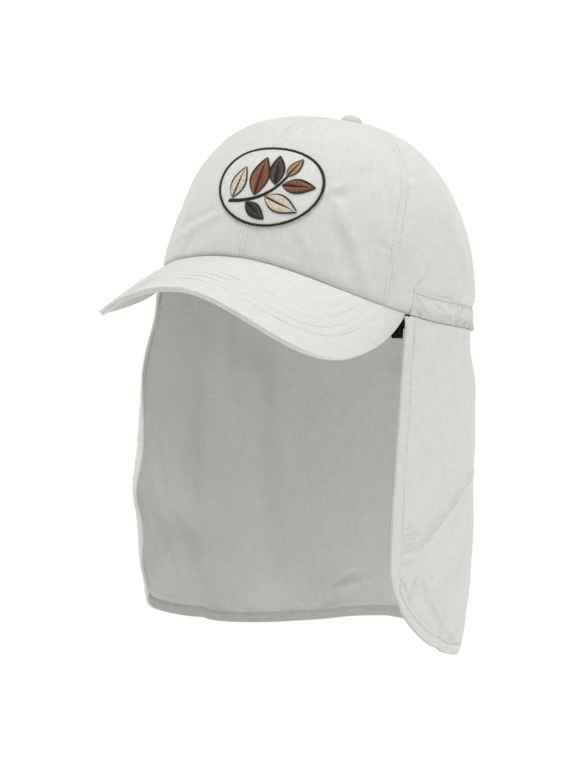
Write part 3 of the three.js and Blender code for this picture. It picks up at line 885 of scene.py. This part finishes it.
def peak_row_lines():
    """The stitch rows of the peak: lines on its top face at a fixed distance from its edge."""
    u = np.sin(np.linspace(-0.5, 0.5, 241) * np.pi) * PEAK_END
    v = np.linspace(0, 1, 161)
    grid = peak_face(u[:, None], v[None, :])
    away = from_edge(grid)
    lines = []
    for row in PEAK_ROWS:
        inside = away > row
        picks = np.flatnonzero(inside.any(1))
        last = np.minimum(len(v) - 1 - np.argmax(inside[picks, ::-1], axis=1), len(v) - 2)
        within, beyond = away[picks, last], away[picks, last + 1]
        v_at = v[last] + (within - row) / (within - beyond) * (v[1] - v[0])
        normals = peak_normal(u[picks], v_at)
        line = peak_face(u[picks], v_at) - normals * 0.18
        lines.append((line, normals))
    return lines


# Elastic casing

def band_gather(turn, v):
    """Gathers of the casing: deepest at both seams and round the back."""
    around = around_crown(turn)
    lively = 0.3 + 0.7 * step(folded(turn), BAND_TURN + 6, BAND_TURN + 34)
    slant = 4 * v * np.sin(around / 11)
    ridges = ripple(around + slant, 4.6, 0.7) + 0.6 * ripple(around + 5 * v, 2.7, 2.1)
    low = bell(v, 0.34)
    high = 0.55 * bell(v - 0.9, 0.22)
    return lively * ridges * (0.25 + 1.3 * low + high)


def band_swell(turn, v):
    """How far the casing stands out: flush at its top and front ends, puffed between its seams."""
    around = around_crown(turn)
    ends = step(folded(turn), BAND_TURN - 0.2, BAND_TURN + 6)
    low = (BAND_EDGE - 0.1) * step(1 - v, 0.1, 0.9)
    full = np.sin(np.pi * np.clip(v / 0.9, 0, 1)) ** 0.8
    puff = BAND_PUFF * (0.7 + 0.3 * ends) + 0.35 * ripple(around, 23, 3.0)
    return ends * (low + full * puff + band_gather(turn, v) * step(1 - v, 0, 0.08))


# Creases of the casing: turn and share of its height at each end, width, height
BAND_CREASES = (
    (67.8, 0.4, 72.0, 0.0, 1.1, -1.9),
    (68.4, 0.85, 74.0, 0.3, 1.4, 1.4),
    (74.0, 0.3, 77.5, 0.1, 1.2, 0.9),
    (77.5, 0.1, 87.0, 0.9, 1.3, 1.7),
    (78.1, 0.8, 90.7, 0.35, 1.3, 1.4),
    (80.0, 0.15, 86.0, 0.35, 1.5, -0.9),
    (84.5, 0.95, 90.0, 0.7, 1.2, -1.0),
    (90.0, 0.8, 98.0, 0.95, 1.3, 0.9),
    (88.0, 0.1, 93.0, 0.75, 1.5, 0.9),
    (96, 0.05, 101, 0.7, 1.8, 0.7),
    (291, 0.6, 287.5, 0.0, 1.3, -1.3),
    (285, 0.05, 279, 0.9, 1.6, 1.0),
)


def band_place(u, v, out):
    turn = BAND_TURN + (360 - 2 * BAND_TURN) * u
    height = v * BAND_HEIGHT
    base = above_rim(turn, height)
    swell = band_swell(turn, v) + creased(base, BAND_CREASES, lambda a, b: above_rim(a, b * BAND_HEIGHT))
    around = around_crown(turn)
    wander = 0.9 * ripple(around, 17, 5.0)
    groove = 0.42 + 0.3 * ripple(around, 4.6, 0.7)
    swell = swell - groove * bell((v - BAND_STITCHES[0]) * BAND_HEIGHT - wander, 0.9)
    swell = swell + 0.45 * ripple(around, 3.6, 1.7) * bell(v * BAND_HEIGHT - 0.9, 1.3)
    return above_rim(turn, height, np.maximum(swell, 0.05) + BAND_SEAT + out)


# Neck flap

FLAP_HALF_WIDTH = CROWN_WIDTH / 2 + FLARE_SIDE
FLAP_BACK = CROWN_LENGTH / 2 + FLARE_BACK
# Millimetres round the flap to one degree, and the hem's width in degrees
FLAP_ARC = math.radians(1) * FLAP_BACK
HEM_INSET = HEM_WIDTH / FLAP_ARC


def flap_foot(turn):
    near = folded(turn)
    left = smooth_column(near, FOOT[:, 0], FOOT[:, 1])
    right = smooth_column(near, FOOT[:, 0], FOOT[:, 2])
    raised = smooth_column(turn, FOOT_LIFTS[:, 0], FOOT_LIFTS[:, 1])
    return raised - FLAP_FOOT * np.where(turn > 180, right, left)


def flap_top(turn):
    low = np.minimum(above_rim(turn, 0)[..., 2], above_rim(turn, 0, SEAM_GAP + BAND_EDGE)[..., 2])
    return low - SEAM_GAP - UNDER_PEAK * step(FLAP_TURN - turn, 0, 1.5)


def from_fronts(turn):
    """Millimetres from the nearer one of the flap's two front edges."""
    return np.minimum(turn - FLAP_START, FLAP_END - turn) * FLAP_ARC


def fold_relief(turn, z):
    """How far the broad folds push the flap out."""
    x = turn * FLAP_ARC
    total = 0
    for turn_a, drop_a, turn_b, drop_b, width, height in FLAP_FOLDS:
        ax, az = turn_a * FLAP_ARC, -drop_a * FLAP_FOOT
        bx, bz = turn_b * FLAP_ARC, -drop_b * FLAP_FOOT
        length = (bx - ax) ** 2 + (bz - az) ** 2
        share = np.clip(((x - ax) * (bx - ax) + (z - az) * (bz - az)) / length, 0, 1)
        distance = np.hypot(x - ax - share * (bx - ax), z - az - share * (bz - az))
        total = total + height * bell(distance, width)
    return total * (1 + 0.7 * step(turn, 124, 140))


def flap(turn, z, out=0.0, folds=True):
    """A point of the flap's outer face at a turn and a height, moved outward."""
    turn, z, out = np.broadcast_arrays(np.asarray(turn, float), z, out)
    near = folded(turn)
    side = np.where(turn > 180, -1.0, 1.0)
    seat = above_rim(near, 0, SEAM_GAP + BAND_EDGE)
    hang = np.maximum(seat[..., 2] - z, 0)
    drop = seat[..., 2] - flap_foot(turn)
    plan = FLAP_PLAN_POWER
    angle = np.radians(near)
    reach = superellipse(near, plan)
    is_front = near < 90
    foot_x = np.where(is_front, FLAP_HALF_WIDTH, FLAP_HALF_WIDTH * np.sin(angle) * reach)
    front_y = -FLAP_FRONT_REACH * (90 - near) / (90 - FLAP_TURN)
    foot_y = np.where(is_front, front_y, -FLAP_BACK * np.cos(angle) * reach)
    back_y = np.maximum(foot_y, 0)
    normal = unit(stacked(
        np.where(is_front, 1.0, (np.abs(foot_x) / FLAP_HALF_WIDTH) ** (plan - 1) / FLAP_HALF_WIDTH),
        np.where(is_front, 0.0, (back_y / FLAP_BACK) ** (plan - 1) / FLAP_BACK),
    ))
    unspent = 1 - np.minimum(hang / FLARE_DEPTH, 1)
    flare = 1 - unspent ** FLARE_POWER
    forward = 1 - unspent ** np.where(is_front, FORWARD_POWER, FLARE_POWER)
    tuck = TUCK * np.maximum((hang - TUCK_START) / TUCK_DEPTH, 0) ** 2
    inside = np.minimum(np.minimum(hang, drop - hang), from_fronts(turn))
    fade = np.clip((inside - HEM_WIDTH) / FOLD_FADE, 0, 1)
    move = out - tuck + (fade * fold_relief(turn, z) if folds else 0)
    reach_in, reach_back, bend = flap_curl(turn, z, hang)
    turned_x = normal[..., 0] * np.cos(bend) + normal[..., 1] * np.sin(bend)
    turned_y = normal[..., 1] * np.cos(bend) - normal[..., 0] * np.sin(bend)
    return stacked(
        side * (seat[..., 0] + (foot_x - seat[..., 0]) * flare - reach_in + turned_x * move),
        seat[..., 1] + (foot_y - seat[..., 1]) * forward + reach_back + turned_y * move,
        z,
    )


def flap_curl(turn, z, hang):
    """How far the front edges curl in and back, and the angle that the cloth turns through."""
    at_start = turn - FLAP_START < FLAP_END - turn
    width = np.where(at_start, CURL_START[0], CURL_END[0])
    most = np.where(at_start, CURL_START[1], CURL_END[1] * (1 + 0.2 * ripple(z, 62, 3.0)))
    later = 0.35 * step(hang, 3, 30) + 0.65 * step(hang, 30, 110)
    hangs = np.where(at_start, step(hang, 3, 32), later)
    full = np.radians(np.maximum(most * hangs, 0.5))
    curled = np.clip(1 - from_fronts(turn) / width, 0, 1)
    bend = full * curled
    return width / full * (1 - np.cos(bend)), width * curled - width / full * np.sin(bend), bend


def flap_turn(u, shift=0.0):
    return FLAP_START + shift + (FLAP_END - FLAP_START - 2 * shift) * crowded(u, EDGE_CROWDING)


# Finer creases of the flap: turn and height at each end, width, height
FLAP_CREASES = (
    (113, -105, 97, -112.5, 1.8, 1.6),
    (98, -112, 86, -119.5, 1.8, 1.9),
    (87, -119, 75, -131, 1.8, 1.7),
    (110, -112, 80, -134, 5.0, -1.9),
    (69, -46, 79, -70, 2.4, 1.1),
    (78, -68, 87, -86, 2.4, 1.2),
    (86, -84, 90, -107, 2.4, 1.0),
    (70, -58, 82, -88, 4.0, -1.1),
    (68.5, -111, 76, -115.5, 1.3, 1.2),
    (68.5, -115, 76, -119, 1.3, -1.3),
    (68.5, -119, 76, -122, 1.3, 1.2),
    (68.5, -122.5, 75.5, -125.5, 1.2, -1.3),
    (69, -126, 75, -128.5, 1.3, 1.1),
    (68.5, -133, 73.5, -135, 1.3, -1.0),
    (77.2, -144, 71.5, -162, 1.7, -1.9),
    (80, -146, 74, -164, 2.0, 1.2),
    (77.8, -149, 82, -169, 1.9, -2.1),
    (81, -166, 91, -199, 2.2, -2.5),
    (90, -197, 103, -214, 2.4, -2.3),
    (83, -158, 94, -194, 3.0, 1.4),
    (96, -215, 106, -208, 2.5, -1.6),
    (212, -245, 208.5, -238, 1.4, -1.3),
    (208.5, -238, 205, -232, 1.4, -1.4),
    (205, -232, 199, -228, 1.6, -1.2),
    (199, -228, 191, -224, 1.9, -0.8),
    (209, -244, 197, -234, 3.0, 0.9),
    (75, 2, 84, -16, 6.0, -1.3),
    (73, -14, 79, -32, 5.0, -1.0),
    (92, 0, 96, -34, 7.0, 1.0),
    (104, -4, 108, -60, 7.0, -0.9),
    (211, -247, 203, -228, 2.6, 1.4),
    (203, -228, 194, -217, 2.6, 1.2),
    (214, -244, 207, -224, 3.5, -1.1),
    (124, -238, 132, -216, 4.0, 1.0),
    (288, -128, 284, -170, 4.0, 1.4),
    (284, -100, 280, -134, 4.0, -1.2),
    (280, -150, 276, -200, 6.0, 1.2),
    (250, -40, 246, -120, 9.0, -1.6),
    (226, -60, 230, -170, 9.0, 1.5),
    (198, -30, 194, -130, 8.0, -1.4),
    (176, -120, 170, -230, 9.0, 1.4),
    (156, -30, 160, -110, 8.0, 1.2),
)


def hem_distance(turn, z):
    """Distance from the flap's front edges and its foot, whichever is nearer."""
    slope = (flap_foot(turn + 0.5) - flap_foot(turn - 0.5)) / FLAP_ARC
    to_foot = (z - flap_foot(turn)) / np.sqrt(1 + slope ** 2)
    return np.minimum(to_foot, from_fronts(turn) * 0.98)


def flap_relief(turn, z):
    base = flap(turn, z, folds=False)
    away = hem_distance(turn, z)
    below = np.maximum(flap_top(turn) - z, 0)
    relief = 0.5 * unevenness(base, 46, 21) + 0.2 * unevenness(base, 17, 23)
    relief = relief + creased(base, FLAP_CREASES, lambda a, b: flap(a, b, folds=False))
    relief = relief * (0.25 + 0.75 * step(away, HEM_WIDTH - 1, HEM_WIDTH + 2.5))
    around = turn * FLAP_ARC
    gathers = ripple(around, 6.4, 4.0) + 0.5 * ripple(around, 3.4, 6.0)
    back = step(folded(turn), 74, 100)
    relief = relief + back * gathers * (0.6 * bell(below, 9) + 0.2 * bell(below, 30))
    relief = relief - WAIST * back * bell(below, 24)
    relief = relief + 0.5 * step(HEM_WIDTH + 0.1 - away, 0, 0.8)
    relief = relief - (0.25 + 0.85 * step(-turn, -84, -72)) * bell(away - HEM_WIDTH - 0.15, 0.7)
    along = np.where(away < 12, ripple(around - z, 8.5, 1.7), 0)
    relief = relief + 0.3 * along * bell(away - HEM_WIDTH, 3.5)
    far_edge = step(turn, 274, 288)
    spread = 0.6 * step(below, 3, 32) + 1.8 * step(below, 30, 110)
    relief = relief + far_edge * (spread + 0.9 * bell(z + 118, 12) - 0.8 * bell(z + 174, 14))
    relief = relief - 3.4 * bell(turn - 122, 15) * step(-z, 212, 246)
    return relief * step(below, 0, 4)


def flap_place(u, v, out):
    turn = flap_turn(u)
    top, foot = flap_top(turn), flap_foot(turn)
    z = top + (foot - top) * crowded_rows(v)
    return flap(turn, z, flap_relief(turn, z) + out)


def crowded_rows(v):
    """Rows of the flap: closer together at its foot, where the hem's stitch line runs."""
    return 1 - (1 - v) * (1 - 0.35 * v ** 2)


def hem_edge(u, shift, lift):
    """Turn and height along the hem: down one front edge, along the foot, up the other."""
    side_share = 0.25
    start, end = flap_turn(0.0, shift), flap_turn(1.0, shift)
    down = np.clip(u / side_share, 0, 1)
    along = np.clip((u - side_share) / (1 - 2 * side_share), 0, 1)
    rising = np.clip((u - 1 + side_share) / side_share, 0, 1)
    turn = flap_turn(along, shift)
    start_z = (flap_top(start) - HEM_WIDTH) * (1 - down) + (flap_foot(start) + lift) * down
    end_z = (flap_foot(end) + lift) * (1 - rising) + (flap_top(end) - HEM_WIDTH) * rising
    z = np.where(u < side_share, start_z, np.where(u > 1 - side_share, end_z, flap_foot(turn) + lift))
    return np.where(u < side_share, start, np.where(u > 1 - side_share, end, turn)), z


def hem_place(u, v, out):
    turn, z = hem_edge(u, HEM_INSET * v, HEM_WIDTH * v)
    along = np.cumsum(np.ones_like(u), axis=0) * 0.9
    pucker = 0.12 * ripple(along, 7, 3.3) * v
    flush = 0.6 * step(v, 0.6, 1.0)
    return flap(turn, z, flap_relief(turn, z) - CLOTH - HEM_CLEAR + flush + pucker + out)


# Badge

def on_front(across, up, out):
    """A point on the front of the crown, measured in millimetres from the badge's middle."""
    across, up, out = np.broadcast_arrays(np.asarray(across, float), up, out)
    steps = np.interp(EMBLEM_ABOVE_RIM + up, CLIMB[0], CLIMB_STEPS)
    share = share_of(np.zeros_like(steps), steps)
    radius = np.abs(crown(1.0, share)[..., 0]) / math.radians(1)
    return crown(np.degrees((EMBLEM_ASIDE + across) / radius), share, out)


def on_badge(points, out):
    """Like on_front(), for an array with a point's across and up in each row."""
    return on_front(points[:, 0], points[:, 1], out)


def badge_normals(points):
    return unit(on_badge(points, 1.0) - on_badge(points, 0.0))


STEM_POINTS = np.array(STEM) * (EMBLEM_WIDTH / 2, EMBLEM_HEIGHT / 2)


def stem_point(t):
    a, b, c = STEM_POINTS
    t = np.asarray(t, float)[..., None]
    return (1 - t) ** 2 * a + 2 * t * (1 - t) * b + t * t * c


def stem_tangent(t):
    a, b, c = STEM_POINTS
    t = np.asarray(t, float)[..., None]
    return unit(2 * (1 - t) * (b - a) + 2 * t * (c - b))


GROUND_OUT = SEAM_GAP + EMBLEM_THICKNESS


def badge_ground():
    inset = OUTLINE_WIDTH * 0.6

    def place(u, v, out):
        a, b = 2 * u - 1, 2 * v - 1
        across = (EMBLEM_WIDTH / 2 - inset) * a * np.sqrt(1 - b * b / 2)
        up = (EMBLEM_HEIGHT / 2 - inset) * b * np.sqrt(1 - a * a / 2)
        edge = np.maximum(np.abs(a), np.abs(b))
        tatami = 0.05 * np.sin(2 * np.pi * (across + 0.25 * up) / 1.1)
        return on_front(across, up, GROUND_OUT - 0.25 * step(edge, 0.93, 1) + tatami + out)
    return laid("badge_ground", 120, 96, place, EMBLEM_THICKNESS)


def satin(name, centres, sides, width, height, slant=0.0):
    """Satin stitch: threads laid side by side across a line of places on the badge."""
    places = spaced(np.column_stack([centres, np.zeros(len(centres))]), THREAD_PITCH)
    middle = read_at(centres, places)
    across = unit(read_at(sides, places))
    along = np.stack([across[:, 1], -across[:, 0]], -1)
    half = read_at(width[:, None], places) / 2
    jitter = np.random.default_rng(len(centres)).uniform(-0.08, 0.08, (len(middle), 2))
    a = middle - across * (half + jitter[:, :1]) - along * slant * half
    b = middle + across * (half + jitter[:, 1:]) + along * slant * half
    keep = half[:, 0] > 0.15
    starts, ends = on_badge(a[keep], height), on_badge(b[keep], height)
    return bars(name, starts, ends, badge_normals(middle[keep]), THREAD_RADIUS, THREAD_ARCH, rings=5)


def badge_outline():
    turns = np.radians(np.linspace(0, 360, 721))
    x = (EMBLEM_WIDTH / 2 - OUTLINE_WIDTH / 2) * np.cos(turns)
    y = (EMBLEM_HEIGHT / 2 - OUTLINE_WIDTH / 2) * np.sin(turns)
    centres = np.stack([x, y], -1)
    sides = unit(np.stack([np.cos(turns) / EMBLEM_WIDTH, np.sin(turns) / EMBLEM_HEIGHT], -1))
    width = np.full(len(turns), OUTLINE_THREADS)
    return satin("badge_outline", centres, sides, width, GROUND_OUT - 0.05)


def badge_stem():
    t = np.linspace(0, 1, 200)
    centres = stem_point(t)
    tangents = stem_tangent(t)
    sides = np.stack([-tangents[:, 1], tangents[:, 0]], -1)
    width = np.full(len(t), float(STEM_WIDTH)) * (0.75 + 0.25 * (1 - t))
    return satin("badge_stem", centres, sides, width, GROUND_OUT + 0.1, slant=0.4)


def leaf_frame(row):
    """A leaf's root, the directions along and across it, and its length."""
    along, side, lean, long, _ = row
    root = stem_point(along)
    direction = stem_tangent(along)
    turn = math.radians(side * lean)
    direction = np.array([
        direction[0] * math.cos(turn) - direction[1] * math.sin(turn),
        direction[0] * math.sin(turn) + direction[1] * math.cos(turn),
    ])
    clear = SEAM_GAP if side == 0 else STEM_WIDTH / 2 / math.sin(math.radians(lean)) + LEAF_CLEAR
    across = np.array([-direction[1], direction[0]])
    return root + direction * clear, direction, across, long * EMBLEM_HEIGHT


def leaf_half_width(share, length):
    return length * LEAF_SLENDERNESS / 2 * np.sin(np.pi * np.clip(share, 0, 1) ** LEAF_BELLY)


def leaf_threads(row):
    """The two halves of a leaf in slanting satin stitch that meet along its midrib."""
    root, direction, across, length = leaf_frame(row)
    share = np.arange(-0.24, 0.99, 0.40 / length)
    inner_share = np.maximum(share, 0.02)
    reach = np.clip(share + 0.26, 0.02, 1.0)
    half_out = leaf_half_width(reach, length) + 0.1
    parts = []
    for side in (-1, 1):
        inner = root + direction * (inner_share * length)[:, None] + across * side * 0.12
        outer = root + direction * (reach * length)[:, None] + across * side * half_out[:, None]
        starts, ends = on_badge(inner, GROUND_OUT + 0.12), on_badge(outer, GROUND_OUT + 0.12)
        parts.append((starts, ends, badge_normals(inner)))
    starts, ends, outs = joined(parts)
    long_enough = np.linalg.norm(ends - starts, axis=1) > 0.5
    return starts[long_enough], ends[long_enough], outs[long_enough]


def leaf_rims():
    """Black running threads round every leaf."""
    parts = []
    for row in LEAVES:
        root, direction, across, length = leaf_frame(row)
        share = np.linspace(0.0, 1.0, 60)
        half = leaf_half_width(share, length) + 0.1
        one = root + direction * (share * length)[:, None] + across * half[:, None]
        other = root + direction * (share * length)[:, None] - across * half[:, None]
        loop = np.concatenate([one, other[::-1], one[:1]])
        parts.append(stitch_line(on_badge(loop, GROUND_OUT + 0.3), badge_normals(loop), 0.9, 1.35))
        rib = root + direction * (np.linspace(-0.02, 0.9, 30) * length)[:, None]
        parts.append(stitch_line(on_badge(rib, GROUND_OUT + 0.32), badge_normals(rib), 1.1, 1.3))
    return bars("badge_leaf_rims", *joined(parts), 0.4, 0.12)


# Tab

def adjuster_place(u, v, out):
    cut = np.maximum(ADJUSTER_CORNER - v * ADJUSTER_HEIGHT, 0) * 0.6
    along = ADJUSTER_START + cut + (ADJUSTER_WIDTH - cut) * u
    up = v * ADJUSTER_HEIGHT - ADJUSTER_BELOW_RIM + ADJUSTER_TILT * (along - ADJUSTER_START)
    return above_rim(180 - along / around_crown(1), up, out - CLOTH - ADJUSTER_SEAT)


# Stitch lines

def seam_lines():
    """The two stitch lines of each crown seam, on the crown's surface."""
    lines = []
    for index in range(6):
        for side in (-1, 1):
            climbed = np.linspace(0.015, 0.93, 240)
            turn = seam_turn(index, climbed * CLIMB_GUESS)
            turn = turn + side * SEAM_STITCH / degree_length(turn, share_of(turn, climbed))
            relief = crown_relief(turn, climbed)
            share = share_of(turn, climbed)
            behind = abs(wrapped(SEAM_TURNS[index])) > BAND_TURN
            seen = np.where(climb_of(turn, climbed) > (BAND_HEIGHT + 1 if behind else 1.0))[0]
            line = crown(turn, share, relief + 0.02)[seen]
            normals = unit(crown(turn, share, 1.0) - crown(turn, share, 0.0))[seen]
            lines.append((line, normals))
    return lines


def band_lines():
    u = np.linspace(0.004, 0.996, 900)[:, None]
    lines = []
    for v in BAND_STITCHES:
        line = band_place(u, np.full((1, 1), v), 0.08)[:, 0]
        normals = unit(band_place(u, np.full((1, 1), v), 1.08)[:, 0] - line)
        lines.append((line, normals))
    return lines


def hem_lines():
    u = np.linspace(0.002, 0.998, 1400)
    turn, z = hem_edge(u, HEM_INSET * 1.02, HEM_WIDTH * 1.02)
    relief = flap_relief(turn, z)
    line = flap(turn, z, relief + 0.12)
    normals = unit(flap(turn, z, 1.0) - flap(turn, z, 0.0))
    inner = flap(turn, z, relief - CLOTH - HEM_CLOTH - 0.15)
    return [(line, normals)], [(inner, -normals)]


# Build everything

def sewn(name, lines, colour, *shape):
    """Sewing stitches along lines, in one of the threads."""
    return finished(stitches(name, lines, *shape), "cap_cloth", (THREADS[colour],))


for index, panel_name in enumerate(PANEL_NAMES):
    finished(panel(index), "cap_cloth", (cloth, reverse), f"panel_{panel_name}")
finished(covered_button(), "cap_cloth", (cloth,), "button")
finished(peak_layer("peak_top_cloth", 0.0, True), "cap_cloth", (cloth, cloth), "peak_top")
finished(peak_layer("peak_under_cloth", PEAK_LAYER + PEAK_LAYER_GAP, False),
         "cap_cloth", (cloth, reverse), "peak_underside")
finished(laid("elastic_casing", 640, 28, band_place, BAND_CLOTH),
         "cap_cloth", (cloth, reverse), "elastic_band")
neck_flap = finished(laid("neck_flap_cloth", 300, 124, flap_place, CLOTH),
                     "cap_cloth", (cloth, reverse), "neck_flap")
hem = finished(laid("turned_hem", 900, 8, hem_place, HEM_CLOTH), "cap_cloth", (reverse, cloth), "flap_hem")
finished(rounded(laid("black_webbing_tab", 60, 40, adjuster_place, ADJUSTER_THICKNESS), 0.4),
         "black_webbing", (webbing, webbing), "adjuster_tab")
finished(badge_ground(), "ground_thread", (ground_thread, ground_thread), "emblem_ground")
finished(badge_outline(), "black_thread", (THREADS["black"],), "emblem_outline")
finished(badge_stem(), "black_thread", (THREADS["black"],), "emblem_stem")
for number, row in enumerate(LEAVES, 1):
    leaf = bars(f"badge_leaf_{number}", *leaf_threads(row), THREAD_RADIUS, 0.4, rings=5)
    finished(leaf, f"{row[4]}_thread", (THREADS[row[4]],), f"emblem_leaf_{number}")
finished(leaf_rims(), "black_thread", (THREADS["black"],))
sewn("seam_stitches", seam_lines(), "white")
sewn("peak_stitches", peak_row_lines(), "white", 0.14, 0.04, 2.2, 0.85)
# The casing's and the hem's outer stitches take the white thread with painted shade
sewn("casing_stitches", band_lines(), "shaded")
outer_hem, inner_hem = hem_lines()
hem_stitches = sewn("hem_stitches", outer_hem, "shaded", STITCH_RADIUS, 0.1)
inner_stitches = sewn("hem_stitches_inside", inner_hem, "white", STITCH_RADIUS, 0.1)


# Floor, light and camera

FLOOR_DROP = 160
FLOOR_SIZE = 40000


def studio():
    bpy.ops.object.select_all(action="DESELECT")
    ground = (0, 0, cad_low.z - FLOOR_DROP * METRE)
    bpy.ops.mesh.primitive_plane_add(size=FLOOR_SIZE * METRE, location=ground)
    floor = bpy.context.object
    floor.name = "floor"
    paper, _, skin = shader("matt_white_paper")
    skin.inputs["Base Color"].default_value = linear("#F1F1F0")
    skin.inputs["Roughness"].default_value = 0.9
    floor.data.materials.append(paper)
    world = bpy.data.worlds.new("studio")
    bpy.context.scene.world = world
    world.use_nodes = True
    back = world.node_tree.nodes["Background"]
    back.inputs["Color"].default_value = linear("#FFFFFF")
    back.inputs["Strength"].default_value = 0.54
    bpy.context.scene.view_settings.view_transform = "Standard"
    # Large soft lamps: direction that the light comes from, strength and apparent size in degrees
    for name, source, strength, spread in (
        ("key", (-0.2, 0.0, 1.0), 1.53, 24),
        ("rim", (1.0, 0.55, 0.6), 0.72, 30),
        ("front", (-0.3, -1.0, 0.5), 0.14, 40),
    ):
        data = bpy.data.lights.new(name, "SUN")
        data.energy = strength
        data.angle = math.radians(spread)
        lamp = bpy.data.objects.new(name, data)
        bpy.context.scene.collection.objects.link(lamp)
        lamp.rotation_mode = "QUATERNION"
        lamp.rotation_quaternion = Vector(source).to_track_quat("Z", "Y")


def camera():
    turn, rise = math.radians(CAMERA_TURN), math.radians(CAMERA_RISE)
    back = Vector((math.sin(turn) * math.cos(rise), -math.cos(turn) * math.cos(rise), math.sin(rise)))
    right = Vector((math.cos(turn), math.sin(turn), 0))
    up = back.cross(right)
    data = bpy.data.cameras.new("camera")
    data.sensor_width = SENSOR_MM
    data.lens = PX_PER_MM * CAMERA_DISTANCE * SENSOR_MM / PHOTO_HEIGHT_PX
    data.clip_start, data.clip_end = 0.05, 50
    eye = bpy.data.objects.new("camera", data)
    bpy.context.scene.collection.objects.link(eye)
    eye.location = (back * CAMERA_DISTANCE + right * CAMERA_ACROSS + up * CAMERA_UP) * METRE
    eye.rotation_mode = "QUATERNION"
    eye.rotation_quaternion = (-back).to_track_quat("-Z", "Y")
    bpy.context.scene.camera = eye


studio()
camera()
